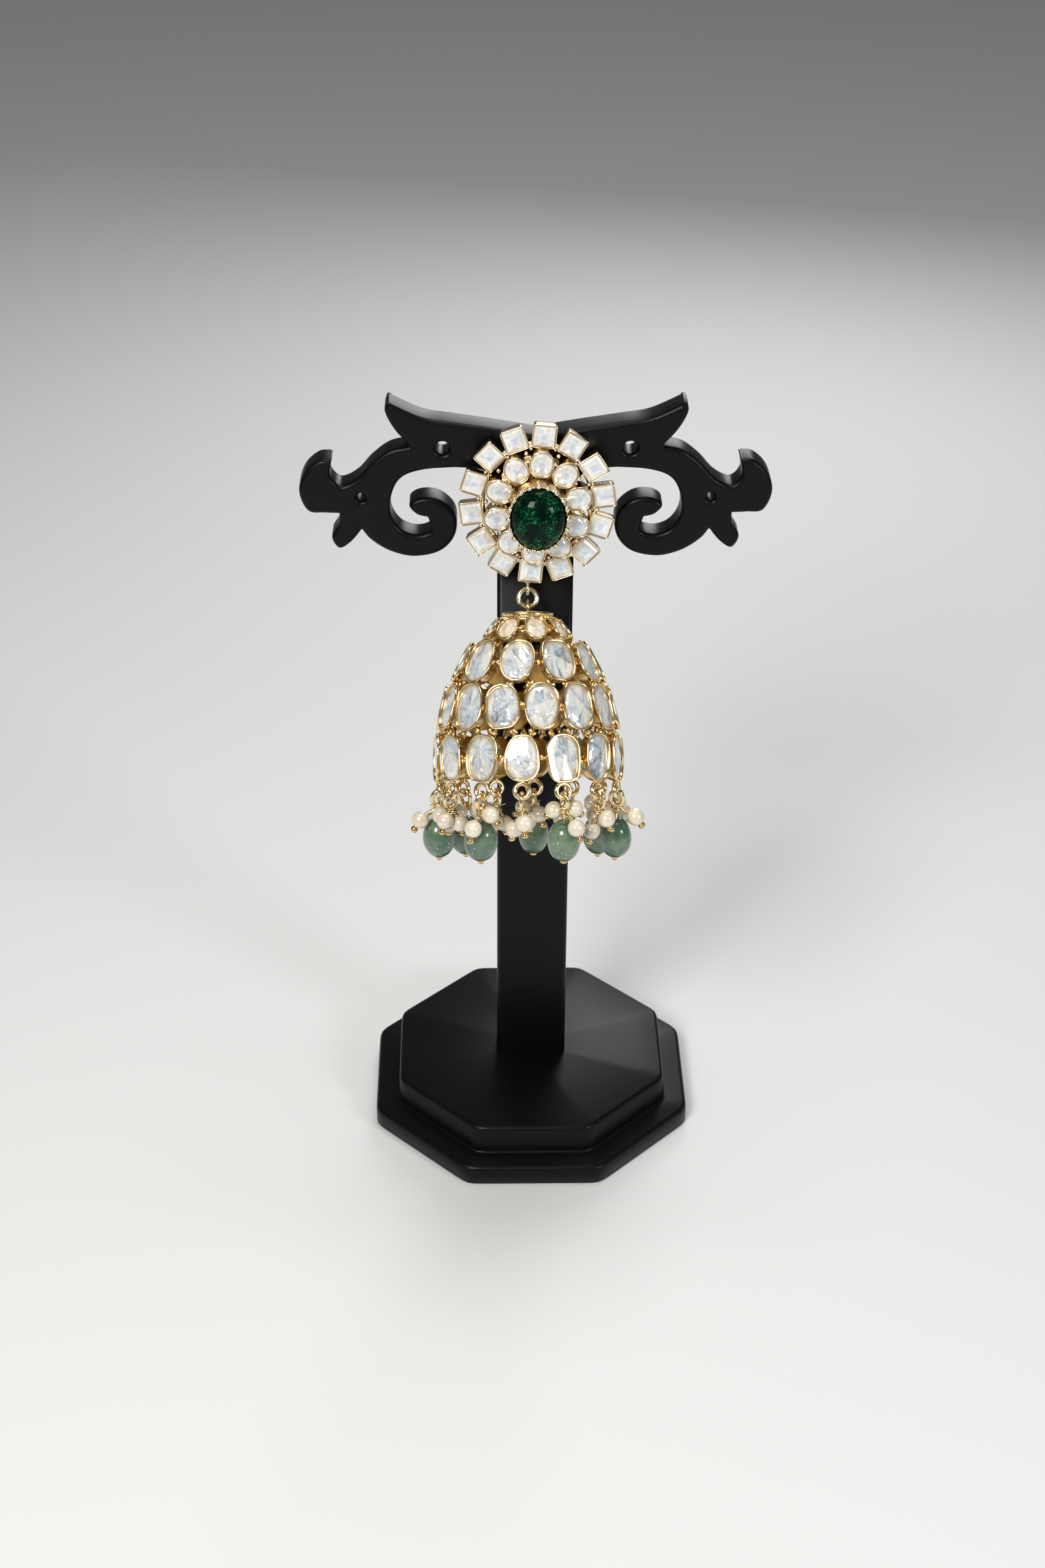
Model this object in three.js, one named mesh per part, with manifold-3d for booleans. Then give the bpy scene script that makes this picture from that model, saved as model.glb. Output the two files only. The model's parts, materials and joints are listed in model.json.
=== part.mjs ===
// A jhumka earring hanging on its display stand.
// Millimetres, +Z up. The front faces -Y. The origin is the centre of the base's underside.
import * as THREE from 'three';
import { mergeVertices } from 'three/addons/utils/BufferGeometryUtils.js';
import Module from 'manifold-3d';

const wasm = await Module();
wasm.setup();

// ---------------------------------------------------------------- driving dimensions

const GAP = 0.3; // play between pieces that touch

const BASE = { lowerFlat: 32.0, lowerTop: 4.4, upperFlat: 27.2, top: 10.7, chamfer: 0.6 };
const POST = { width: 14.0, depth: 6.26, top: 129.7, corner: 0.7 };
const TENON = { width: 8.0, depth: 3.0, length: 5.0 };
const CROSS = { thickness: 5.5, stemFoot: 130.0, stemTop: 140.4, earHole: 1.4 };
const FRONT = -POST.depth / 2; // the plane of the post's and the crosspiece's front faces

// The stud: two rings of settings round a raised oval stone. It leans back against the crosspiece.
// Its own frame has the origin at the centre of its back, and heights are counted from there.
const STUD = { x: 0.16, y: -4.6, z: 137.9, lean: 4.5 };
const SQUARES = { count: 14, turn: 5.6, wide: 12.05, tall: 12.9, side: 4.1, face: 2.6, stone: 3.3 };
const PETALS = { count: 10, turn: 5.0, wide: 7.55, tall: 8.45, across: 4.1, along: 4.5, face: 4.7 };
const CROWN = { wide: 5.3, tall: 6.15, rim: 9.6, seat: 8.6, taper: 0.15 };
const EMERALD = { wide: 5.0, tall: 5.85, back: 8.9, girdle: 9.9, dome: 12.6 };
const GALLERY = { wide: 9.9, tall: 10.7, wire: 0.6 };
const BACKPLATE = { wide: 8.0, tall: 8.9, thickness: 0.8 };
const EAR_POST = { radius: 0.45, length: 8.4, nutRadius: 2.6, nutLength: 2.2, tip: 1.6 };

// The ring and the loops that it joins.
const HANG = { x: -1.5, y: -7.55, z: 121.55, ringTilt: 31, ringRadius: 1.65, ringWire: 0.45 };
const EYE = { radius: 1.15, wire: 0.3, stalk: 1.4 };

// The bell, measured down its own axis from the ring: it leans out from the post.
const BELL = { tilt: 31, plateTop: 1.15, plateThick: 0.7, plateRadius: 4.7, link: 0.55 };
const ROWS = [
  { count: 8, phase: 12.0, drop: 4.0, radius: 7.0, lean: 36, across: 4.4, along: 5.2, depth: 1.7 },
  { count: 10, phase: -10.3, drop: 10.05, radius: 12.3, lean: 27, across: 6.6, along: 8.7, depth: 2.4 },
  { count: 14, phase: 7.9, drop: 18.3, radius: 15.8, lean: 14, across: 6.5, along: 8.8, depth: 2.4 },
  { count: 14, phase: -5.0, drop: 27.5, radius: 17.1, lean: 1, across: 6.5, along: 8.9, depth: 2.4 },
];
const lastRow = ROWS[ROWS.length - 1];
const RIM_EYES = { drop: 33.3, radius: 16.5, mean: 1.28, wire: 0.43 };

// The clusters under the bell. Each hangs plumb from the lowest point of one eye of the rim.
const JUMP = { wide: 1.15, tall: 1.55, wire: 0.3, play: 0.22, knot: 0.75 };
const PEARL = { radius: 1.6, pin: 0.3, ball: 0.75 };
const BEAD = { radius: 3.1, half: 3.95, bore: 0.6, drop: 9.0 };
// A pearl's bearing is from straight outward, its reach from the plumb line.
const PEARLS_ALONE = [
  { bearing: 20, reach: 1.6, drop: 4.3 },
  { bearing: 140, reach: 1.6, drop: 5.4 },
  { bearing: 255, reach: 1.45, drop: 6.7 },
];
const PEARLS_OVER_BEAD = [
  { bearing: 12, reach: 3.5, drop: 4.5 },
  { bearing: 95, reach: 2.0, drop: 2.9 },
  { bearing: 215, reach: 2.2, drop: 3.3 },
];

// ---------------------------------------------------------------- solids from geometry

/** A closed three.js geometry as a solid for joining and cutting. */
function solid(geometry) {
  const bare = new THREE.BufferGeometry();
  bare.setAttribute('position', geometry.getAttribute('position').clone());
  if (geometry.index) bare.setIndex(geometry.index.clone());
  const welded = mergeVertices(bare, 1e-4);
  return new wasm.Manifold(new wasm.Mesh({
    numProp: 3,
    vertProperties: new Float32Array(welded.getAttribute('position').array),
    triVerts: new Uint32Array(welded.index.array),
  }));
}

/** A solid as a three.js geometry. */
function geometryOf(body) {
  const mesh = body.getMesh();
  const geometry = new THREE.BufferGeometry();
  geometry.setAttribute('position', new THREE.BufferAttribute(mesh.vertProperties, 3));
  geometry.setIndex(new THREE.BufferAttribute(mesh.triVerts, 1));
  geometry.computeVertexNormals();
  return geometry;
}

/** All the geometries joined into one solid. */
function union(geometries) {
  return geometries.map(solid).reduce((whole, piece) => whole.add(piece));
}

/** A shape in the XZ plane made `thickness` thick, from y = `front` towards +Y. */
function plate(shape, front, thickness) {
  const geometry = new THREE.ExtrudeGeometry(shape, { depth: thickness, bevelEnabled: false });
  return geometry.rotateX(Math.PI / 2).translate(0, front + thickness, 0);
}

/** A lathe turned about +Z. */
function turned(profile, sides, start = 0) {
  const points = profile.map(([r, z]) => new THREE.Vector2(r, z));
  return new THREE.LatheGeometry(points, sides, start).rotateX(Math.PI / 2);
}

/** A lathe turned about the line that points at the viewer, -Y. */
function turnedFacing(profile, sides) {
  return turned(profile, sides).rotateX(Math.PI / 2);
}

/** A round wire eye that lies in the YZ plane. */
function sideEye(radius, wire, around = 14) {
  return new THREE.TorusGeometry(radius, wire, 6, around).rotateY(Math.PI / 2);
}

/** A straight round bar from one point to another. */
function bar(from, to, radius, sides = 5) {
  const along = to.clone().sub(from);
  const geometry = new THREE.CylinderGeometry(radius, radius, along.length(), sides);
  const turn = new THREE.Quaternion().setFromUnitVectors(new THREE.Vector3(0, 1, 0), along.normalize());
  const middle = from.clone().add(to).multiplyScalar(0.5);
  return geometry.applyQuaternion(turn).translate(middle.x, middle.y, middle.z);
}

function sphere(radius, at, around, rings) {
  return new THREE.SphereGeometry(radius, around, rings).rotateX(Math.PI / 2).translate(at.x, at.y, at.z);
}

const radians = THREE.MathUtils.degToRad;
const hangPoint = new THREE.Vector3(HANG.x, HANG.y, HANG.z);

// ---------------------------------------------------------------- the stand

/** Two octagonal tiers with a flat to the front, and a socket for the post. */
function standBase() {
  const toCorner = 1 / Math.cos(Math.PI / 8);
  const profile = [
    [0, 0],
    [BASE.lowerFlat * toCorner, 0],
    [BASE.lowerFlat * toCorner, BASE.lowerTop - BASE.chamfer],
    [(BASE.lowerFlat - BASE.chamfer) * toCorner, BASE.lowerTop],
    [BASE.upperFlat * toCorner, BASE.lowerTop],
    [BASE.upperFlat * toCorner, BASE.top - BASE.chamfer],
    [(BASE.upperFlat - BASE.chamfer) * toCorner, BASE.top],
    [0, BASE.top],
  ];
  const tiers = solid(turned(profile, 8, Math.PI / 8));
  return geometryOf(tiers.subtract(solid(tenonBox(BASE.top - TENON.length / 2, GAP))));
}

/** The block that joins the post to its neighbours, or with play its socket. */
function tenonBox(height, play) {
  const box = new THREE.BoxGeometry(
    TENON.width + 2 * play, TENON.depth + 2 * play, TENON.length + 2 * play);
  return box.translate(0, 0, height);
}

/** A flat upright with rounded corners and a tenon at each end. */
function standPost() {
  const x = POST.width / 2;
  const y = POST.depth / 2;
  const r = POST.corner;
  const section = new THREE.Shape();
  section.moveTo(x, -y + r);
  section.absarc(x - r, y - r, r, 0, Math.PI / 2);
  section.absarc(-x + r, y - r, r, Math.PI / 2, Math.PI);
  section.absarc(-x + r, -y + r, r, Math.PI, 1.5 * Math.PI);
  section.absarc(x - r, -y + r, r, 1.5 * Math.PI, 2 * Math.PI);
  const foot = BASE.top + GAP;
  const options = { depth: POST.top - foot, bevelEnabled: false, curveSegments: 3 };
  const shaft = new THREE.ExtrudeGeometry(section, options).translate(0, 0, foot);
  const lower = tenonBox(BASE.top - TENON.length / 2 + GAP, 0);
  const upper = tenonBox(POST.top + TENON.length / 2 - GAP, 0);
  return geometryOf(union([shaft, lower, upper]));
}

// One side of the crosspiece from its top centre round to the stem: smooth runs that meet at corners.
const ARM_RUNS = [
  { name: 'wing top', through: [[0, 149.6], [8, 151.0], [15, 152.1], [20.5, 153.1], [26.5, 156.0]] },
  { name: 'wing edge', through: [[26.5, 156.0], [26.9, 154.1], [25.3, 150.8], [22.6, 147.6]] },
  { name: 'neck', through: [[22.6, 147.6], [26.2, 146.8], [29.4, 144.4], [32.2, 141.3], [35.2, 139.9],
    [37.0, 141.9], [36.6, 144.9]] },
  { name: 'brow', through: [[36.6, 144.9], [39.0, 144.8], [41.6, 142.4], [42.7, 138.6], [41.2, 134.9],
    [38.2, 134.5], [35.6, 134.4]] },
  { name: 'foot', through: [[35.6, 134.4], [35.8, 132.2], [37.1, 129.6], [35.8, 127.4], [33.6, 128.7],
    [31.6, 131.2]] },
  { name: 'scroll', through: [[31.6, 131.2], [30.0, 129.1], [26.6, 126.8], [22.2, 125.7], [17.4, 126.8],
    [14.7, 130.0], [14.6, 134.1], [17.4, 137.0], [20.8, 137.4], [22.9, 136.0], [21.6, 134.2],
    [19.6, 133.6]] },
  { name: 'inner curl', through: [[19.6, 133.6], [19.1, 131.0], [21.7, 130.1], [24.6, 131.3], [26.3, 134.5],
    [25.9, 138.6], [24.0, 141.6], [20.0, 143.0], [14.5, 143.4]] },
  { name: 'stem fillet', through: [[14.5, 143.4], [9.6, 142.8], [POST.width / 2, CROSS.stemTop]] },
];
const DISPLAY_HOLES = [{ x: 16.8, z: 147.2, radius: 1.25 }, { x: 31.6, z: 137.6, radius: 0.8 }];

/** The mirrored outline of both scroll arms, as one flat plate with its holes. */
function standCrosspiece() {
  const right = ARM_RUNS.flatMap(({ through }) => {
    const curve = new THREE.SplineCurve(through.map(([x, z]) => new THREE.Vector2(x, z)));
    return curve.getPoints(2 * (through.length - 1)).slice(0, -1);
  });
  right.push(new THREE.Vector2(POST.width / 2, CROSS.stemTop));
  right.push(new THREE.Vector2(POST.width / 2, CROSS.stemFoot));
  const left = right.slice(1).reverse().map(({ x, y }) => new THREE.Vector2(-x, y));
  let body = solid(plate(new THREE.Shape([...right, ...left]), FRONT, CROSS.thickness));
  const drill = (x, z, radius) => {
    const hole = new THREE.CylinderGeometry(radius, radius, 3 * CROSS.thickness, 12).translate(x, 0, z);
    body = body.subtract(solid(hole));
  };
  for (const { x, z, radius } of DISPLAY_HOLES) {
    drill(x, z, radius);
    drill(-x, z, radius);
  }
  drill(STUD.x, STUD.z, CROSS.earHole);
  return geometryOf(body.subtract(solid(tenonBox(CROSS.stemFoot + TENON.length / 2 - GAP, GAP))));
}

// ---------------------------------------------------------------- the stud

/** A point on an upright oval at a bearing clockwise from the top, as seen from the front. */
function onOval(wide, tall, bearing) {
  return { x: wide * Math.sin(bearing), z: tall * Math.cos(bearing) };
}

/** One square setting with its low, flat-topped stone, at the origin and facing -Y. */
function squareSetting() {
  const box = new THREE.BoxGeometry(SQUARES.side, SQUARES.face, SQUARES.side);
  const half = SQUARES.stone / Math.SQRT2;
  const stone = turnedFacing([[0, -1], [half, -1], [0.7 * half, 0.35], [0, 0.35]], 4);
  return [box.translate(0, -SQUARES.face / 2, 0), stone.rotateY(Math.PI / 4).translate(0, -SQUARES.face, 0)];
}

/** One oval setting of the inner ring, domed, at the origin and facing -Y. */
function petalSetting() {
  const cup = turnedFacing([[0, 0], [0.86, 0], [1, PETALS.face - 0.2], [0, PETALS.face + 0.25]], 10);
  return cup.scale(PETALS.across / 2, 1, PETALS.along / 2);
}

/** The tall crown that holds the centre stone in its open end. */
function crown() {
  const stoneEdge = EMERALD.wide / CROWN.wide;
  const profile = [[0, 0], [1 - CROWN.taper, 0], [1, CROWN.rim], [stoneEdge + 0.02, CROWN.rim],
    [stoneEdge - 0.1, CROWN.seat], [0, CROWN.seat]];
  return turnedFacing(profile, 20).scale(CROWN.wide, 1, CROWN.tall);
}

/** The wire oval that ties the two rings of settings together, close to the back. */
function galleryWire() {
  const wire = new THREE.TorusGeometry(1, GALLERY.wire / GALLERY.wide, 5, 24).rotateX(Math.PI / 2);
  return wire.scale(GALLERY.wide, GALLERY.wide, GALLERY.tall).translate(0, -GALLERY.wire, 0);
}

/** The soldered metal of the stud, with the eye below it that carries the ring. */
function studFrame() {
  const pieces = [crown(), galleryWire()];
  for (let i = 0; i < SQUARES.count; i += 1) {
    const bearing = radians(SQUARES.turn) + (2 * Math.PI * i) / SQUARES.count;
    const { x, z } = onOval(SQUARES.wide, SQUARES.tall, bearing);
    for (const piece of squareSetting()) pieces.push(piece.rotateY(bearing).translate(x, 0, z));
  }
  for (let i = 0; i < PETALS.count; i += 1) {
    const bearing = radians(PETALS.turn) + (2 * Math.PI * i) / PETALS.count;
    const { x, z } = onOval(PETALS.wide, PETALS.tall, bearing);
    pieces.push(petalSetting().rotateY(bearing).translate(x, 0, z));
  }
  const sheet = turnedFacing([[0, 0], [1, 0], [1, BACKPLATE.thickness], [0, BACKPLATE.thickness]], 20);
  pieces.push(sheet.scale(BACKPLATE.wide, 1, BACKPLATE.tall));
  const toStud = studPlace().invert();
  const crest = hangPoint.clone().add(new THREE.Vector3(0, 0, EYE.radius));
  const stalk = bar(crest, crest.clone().add(new THREE.Vector3(0, 0, EYE.stalk)), EYE.wire);
  const eye = sideEye(EYE.radius, EYE.wire).translate(HANG.x, HANG.y, HANG.z);
  return geometryOf(union([...pieces, eye.applyMatrix4(toStud), stalk.applyMatrix4(toStud)]));
}

/** The matrix that takes the stud's own frame to the object's. */
function studPlace() {
  const lean = new THREE.Matrix4().makeRotationX(-radians(STUD.lean));
  return new THREE.Matrix4().makeTranslation(STUD.x, STUD.y, STUD.z).multiply(lean);
}

/** The domed oval stone, which sits in the crown. */
function centreStone() {
  const rise = EMERALD.dome - EMERALD.girdle;
  const profile = [[0, EMERALD.back], [0.72, EMERALD.back], [0.98, EMERALD.girdle - 0.2], [1, EMERALD.girdle]];
  for (const slope of [22, 44, 66]) {
    profile.push([Math.cos(radians(slope)), EMERALD.girdle + rise * Math.sin(radians(slope))]);
  }
  profile.push([0, EMERALD.dome]);
  return turnedFacing(profile, 20).scale(EMERALD.wide, 1, EMERALD.tall);
}

/** The hidden ear post with its round push nut, as one plain piece behind the stud. */
function earPost() {
  const { radius, length, nutRadius, nutLength, tip } = EAR_POST;
  const profile = [[0, GAP], [radius, GAP], [radius, length], [nutRadius, length],
    [nutRadius, length + nutLength], [radius, length + nutLength], [radius, length + nutLength + tip],
    [0, length + nutLength + tip]];
  return turned(profile, 12).rotateX(-Math.PI / 2);
}

// ---------------------------------------------------------------- the ring and the bell

/** A direction in the YZ plane, `tilt` degrees forward of straight down. */
function forwardOfDown(tilt) {
  return new THREE.Vector3(0, -Math.sin(radians(tilt)), -Math.cos(radians(tilt)));
}

const bellPivot = hangPoint.clone().addScaledVector(forwardOfDown(HANG.ringTilt), 2 * HANG.ringRadius);
const bellTurn = new THREE.Matrix4().makeRotationX(-radians(BELL.tilt));

/** The ring that links the stud's eye to the bell's. */
function hangRing() {
  // Known fault: the last quarter turn is one too many. It lays the ring across the chain instead of along it.
  const ring = new THREE.TorusGeometry(HANG.ringRadius, HANG.ringWire, 6, 16);
  return ring.rotateX(Math.PI / 2 - radians(HANG.ringTilt)).rotateX(-Math.PI / 2);
}

/** The place of a setting: its centre and the turn that faces it outward. */
function settingPlace(row, index) {
  const bearing = radians(row.phase) + (2 * Math.PI * index) / row.count;
  const place = new THREE.Matrix4().makeRotationZ(bearing);
  place.multiply(new THREE.Matrix4().makeTranslation(0, -row.radius, -row.drop));
  return place.multiply(new THREE.Matrix4().makeRotationX(-radians(row.lean)));
}

/** One stone in its deep bezel, facing -Y, as an oval slab with a low crown. */
function bellSetting(row) {
  const profile = [[0, -row.depth], [0.88, -row.depth], [1, 0], [0, 0.3]];
  return turnedFacing(profile, 9).scale(row.across / 2, 1, row.along / 2);
}

/** The openwork bell: rows of settings soldered together, the cap, and the eyes of the rim. */
function bellFrame() {
  const pieces = [];
  const hearts = ROWS.map((row) => Array.from({ length: row.count }, (_, index) => {
    const place = settingPlace(row, index);
    pieces.push(bellSetting(row).applyMatrix4(place));
    return new THREE.Vector3(0, row.depth / 2, 0).applyMatrix4(place);
  }));
  hearts.forEach((ring, level) => ring.forEach((heart, index) => {
    pieces.push(bar(heart, ring[(index + 1) % ring.length], BELL.link, 4));
    const below = hearts[level + 1] ?? [];
    const nearest = [...below].sort((a, b) => a.distanceTo(heart) - b.distanceTo(heart));
    if (nearest.length > 0) pieces.push(bar(heart, nearest[0], BELL.link, 4));
  }));
  const capFoot = BELL.plateTop + BELL.plateThick;
  pieces.push(turned([[0, -capFoot], [BELL.plateRadius + 0.6, -capFoot - 0.9], [BELL.plateRadius, -capFoot + 0.2],
    [BELL.plateRadius, -BELL.plateTop], [0, -BELL.plateTop]], 18));
  pieces.push(sideEye(EYE.radius, EYE.wire));
  for (let i = 0; i < lastRow.count; i += 1) {
    const eye = new THREE.TorusGeometry(RIM_EYES.mean, RIM_EYES.wire, 5, 9).rotateX(Math.PI / 2);
    const bearing = rimBearing(i);
    pieces.push(eye.translate(0, -RIM_EYES.radius, -RIM_EYES.drop).rotateZ(bearing));
  }
  return geometryOf(union(pieces));
}

function rimBearing(index) {
  return radians(lastRow.phase) + (2 * Math.PI * index) / lastRow.count;
}

// ---------------------------------------------------------------- the clusters

/** Where cluster `index` hangs, and the way its eye faces, in the object's frame. */
function clusterHook(index) {
  const bearing = rimBearing(index);
  const outward = new THREE.Vector3(Math.sin(bearing), -Math.cos(bearing), 0);
  const point = outward.clone().multiplyScalar(RIM_EYES.radius).setZ(-RIM_EYES.drop);
  point.applyMatrix4(bellTurn).add(bellPivot);
  outward.applyMatrix4(bellTurn);
  const down = new THREE.Vector3(0, 0, -1).addScaledVector(outward, outward.z).normalize();
  return { point: point.addScaledVector(down, RIM_EYES.mean), facing: Math.atan2(outward.x, -outward.y) };
}

/** The joined jump ring, pins, ball ends and pearls of one cluster, hung from the origin. */
function cluster(hasBead) {
  const crest = RIM_EYES.wire + JUMP.wire + JUMP.play;
  const knot = new THREE.Vector3(0, 0, crest - 2 * JUMP.tall);
  const link = new THREE.TorusGeometry(1, JUMP.wire / JUMP.tall, 4, 7);
  link.scale(JUMP.wide, JUMP.tall, JUMP.tall).rotateX(Math.PI / 2).rotateZ(Math.PI / 2);
  const pieces = [link.translate(0, 0, crest - JUMP.tall), sphere(JUMP.knot, knot, 5, 4)];
  for (const { bearing, reach, drop } of hasBead ? PEARLS_OVER_BEAD : PEARLS_ALONE) {
    const side = radians(bearing);
    const centre = new THREE.Vector3(reach * Math.sin(side), -reach * Math.cos(side), -drop);
    pieces.push(bar(knot, centre, PEARL.pin, 4), sphere(PEARL.radius, centre, 7, 5));
    const tip = centre.clone().add(new THREE.Vector3(0, 0, -PEARL.radius - 0.45 * PEARL.ball));
    pieces.push(sphere(PEARL.ball, tip, 4, 3));
  }
  if (hasBead) {
    const tip = new THREE.Vector3(0, 0, -BEAD.drop - BEAD.half - PEARL.ball);
    pieces.push(bar(knot, tip, PEARL.pin, 4), sphere(PEARL.ball, tip, 5, 4));
  }
  return geometryOf(union(pieces));
}

/** The tumbled green bead, bored for its pin. */
function greenBead() {
  const bore = BEAD.bore;
  const profile = [];
  for (let step = 0; step <= 6; step += 1) {
    const slope = radians(-78 + 26 * step);
    profile.push([BEAD.radius * Math.cos(slope), BEAD.half * Math.sin(slope)]);
  }
  profile[0][0] = bore;
  profile[6][0] = bore;
  profile.push([...profile[0]]);
  return turned(profile, 10).translate(0, 0, -BEAD.drop);
}

// ---------------------------------------------------------------- finishes and the scene

const finish = (color, roughness, metalness) => new THREE.MeshStandardMaterial({ color, roughness, metalness });
const finishes = {
  black: finish(0x17181a, 0.5, 0.0),
  paleGold: finish(0xd8bd82, 0.25, 1.0),
  gold: finish(0xd9a441, 0.25, 1.0),
  emerald: finish(0x06331c, 0.08, 0.0),
  pearl: finish(0xece3d0, 0.3, 0.0),
  green: finish(0x5f8d72, 0.3, 0.0),
};

const earring = new THREE.Group();

function place(name, geometry, material, parent = earring) {
  const mesh = new THREE.Mesh(geometry, material.clone());
  mesh.name = name;
  parent.add(mesh);
  return mesh;
}

place('stand_base', standBase(), finishes.black);
place('stand_post', standPost(), finishes.black);
place('stand_crosspiece', standCrosspiece(), finishes.black);

const stud = new THREE.Group();
stud.position.set(STUD.x, STUD.y, STUD.z);
stud.rotation.x = -radians(STUD.lean);
earring.add(stud);
place('ear_post', earPost(), finishes.paleGold, stud);
place('stud_frame', studFrame(), finishes.paleGold, stud);
place('centre_stone', centreStone(), finishes.emerald, stud);

const ringCentre = hangPoint.clone().addScaledVector(forwardOfDown(HANG.ringTilt), HANG.ringRadius);
place('hang_ring', hangRing(), finishes.gold).position.copy(ringCentre);

const bell = new THREE.Group();
bell.position.copy(bellPivot);
bell.rotation.x = -radians(BELL.tilt);
earring.add(bell);
place('bell_frame', bellFrame(), finishes.gold, bell);

for (let i = 0; i < lastRow.count; i += 1) {
  const number = String(i + 1).padStart(2, '0');
  const hasBead = i % 2 === 1;
  const { point, facing } = clusterHook(i);
  const hung = new THREE.Group();
  hung.position.copy(point);
  hung.rotation.z = facing;
  earring.add(hung);
  place(`pearl_cluster_${number}`, cluster(hasBead), finishes.pearl, hung);
  if (hasBead) place(`green_bead_${number}`, greenBead(), finishes.green, hung);
}

export default earring;
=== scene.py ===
import json
import logging
import math
from dataclasses import dataclass, replace
from enum import Enum
from typing import Sequence, Union

import bmesh
import bpy
import numpy as np
from mathutils import Matrix, Vector
from mathutils.geometry import tessellate_polygon


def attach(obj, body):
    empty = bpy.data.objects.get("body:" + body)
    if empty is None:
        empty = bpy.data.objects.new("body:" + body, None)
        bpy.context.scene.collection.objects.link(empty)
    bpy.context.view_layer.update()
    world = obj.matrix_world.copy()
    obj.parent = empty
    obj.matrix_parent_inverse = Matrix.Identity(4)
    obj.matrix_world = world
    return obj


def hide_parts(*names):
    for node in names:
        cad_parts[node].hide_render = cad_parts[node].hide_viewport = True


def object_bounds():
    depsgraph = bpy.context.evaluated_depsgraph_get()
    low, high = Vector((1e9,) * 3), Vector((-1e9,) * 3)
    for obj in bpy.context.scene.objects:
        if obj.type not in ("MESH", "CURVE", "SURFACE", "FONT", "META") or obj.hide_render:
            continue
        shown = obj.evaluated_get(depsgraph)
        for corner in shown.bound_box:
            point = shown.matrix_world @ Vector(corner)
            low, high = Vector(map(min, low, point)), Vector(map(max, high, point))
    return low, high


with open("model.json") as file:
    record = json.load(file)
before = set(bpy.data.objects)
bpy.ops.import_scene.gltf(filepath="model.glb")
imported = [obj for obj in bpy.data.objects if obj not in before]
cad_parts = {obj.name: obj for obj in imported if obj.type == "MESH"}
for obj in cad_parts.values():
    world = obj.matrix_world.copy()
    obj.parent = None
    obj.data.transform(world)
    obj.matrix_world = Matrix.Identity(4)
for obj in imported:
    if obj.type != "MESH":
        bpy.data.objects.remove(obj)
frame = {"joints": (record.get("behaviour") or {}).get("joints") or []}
CAD_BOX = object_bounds()

LOG = logging.getLogger("earring")
MM = 0.001
TAU = 2.0 * math.pi
Array = np.ndarray
Colour = tuple[float, float, float, float]
RIGHT = np.array([1.0, 0.0, 0.0])
UP = np.array([0.0, 0.0, 1.0])


class Body(Enum):
    """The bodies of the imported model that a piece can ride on."""

    STAND = "stand"
    RING = "ring"
    BELL = "bell"


class Slot(Enum):
    """The record's material slots."""

    BLACK = "black_plastic"
    PALE_GOLD = "pale_gold"
    GOLD = "gold"
    CLEAR = "clear_stone"
    EMERALD = "emerald"
    PEARL = "pearl"
    GREEN = "green_stone"


class Cut(Enum):
    """How a clear stone is cut, which sets the pattern of light inside it."""

    SQUARE = "square"
    ROUND = "round"
    UNCUT = "uncut"


# ------------------------------------------------------------------ places


def shift(x: float, y: float, z: float) -> Array:
    """The 4x4 matrix of a move by x, y, z."""
    matrix = np.eye(4)
    matrix[:3, 3] = (x, y, z)
    return matrix


def turn(axis: str, degrees: float) -> Array:
    """The 4x4 matrix of a turn about X, Y or Z.

    Args:
        axis: "X", "Y" or "Z".
        degrees: the angle, by the right-hand rule.

    Returns:
        The matrix.
    """
    return np.array(Matrix.Rotation(math.radians(degrees), 4, axis))


def put(points: Array, matrix: Array) -> Array:
    """Points of any grid moved by a 4x4 matrix: matrix times point."""
    return points @ matrix[:3, :3].T + matrix[:3, 3]


def joint_place(name: str) -> Array:
    """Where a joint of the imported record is, in millimetres."""
    joint = next(j for j in frame["joints"] if j["name"] == name)
    return np.array(joint["pos_m"]) / MM


# ------------------------------------------------------------------ surfaces


def angles(count: int) -> Array:
    """`count` equal steps of a full turn, without its end."""
    return np.arange(count) * TAU / count


@dataclass(frozen=True)
class Outline:
    """The closed edge of a stone in its own XZ plane.

    The radius at angle t is (|cos t|^p + |sin t|^p)^(-1/p) times the half sizes, where p goes
    from `power` to `power + squarer` on the side that `heading` points to. The width then
    grows by `taper` towards the top, and the whole is turned by `tilt` degrees.
    """

    across: float
    along: float
    power: float = 2.0
    squarer: float = 0.0
    heading: float = 0.0
    taper: float = 0.0
    tilt: float = 0.0

    def ring(self, count: int, share: float = 1.0, grow: float = 0.0) -> Array:
        """The edge as points.

        Args:
            count: number of points.
            share: scale about the centre, 0 for the centre itself.
            grow: millimetres added all round.

        Returns:
            An array of shape (count, 2) of x and z.
        """
        t = angles(count)
        p = self.power + self.squarer * 0.5 * (1 + np.cos(t - self.heading))
        r = (np.abs(np.cos(t)) ** p + np.abs(np.sin(t)) ** p) ** (-1 / p)
        x = (self.across / 2 + grow) * r * np.cos(t)
        z = (self.along / 2 + grow) * r * np.sin(t)
        x = x * (1 + self.taper * z / (self.along / 2))
        c, s = math.cos(math.radians(self.tilt)), math.sin(math.radians(self.tilt))
        return share * np.stack([c * x - s * z, s * x + c * z], axis=1)


def loft(outline: Outline, section: Sequence[tuple[float, float, float]], count: int) -> Array:
    """A closed form whose levels are one outline made larger or smaller.

    Args:
        outline: the edge that every level follows.
        section: rows of share, grow and height. Height is towards -Y.
        count: points round the edge.

    Returns:
        A grid of shape (levels, count, 3).
    """
    levels = [outline.ring(count, share, grow) for share, grow, _ in section]
    heights = np.array([height for _, _, height in section])
    flat = np.stack(levels)
    depth = np.broadcast_to(-heights[:, None], flat.shape[:2])
    return np.stack([flat[..., 0], depth, flat[..., 1]], axis=-1)


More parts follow.
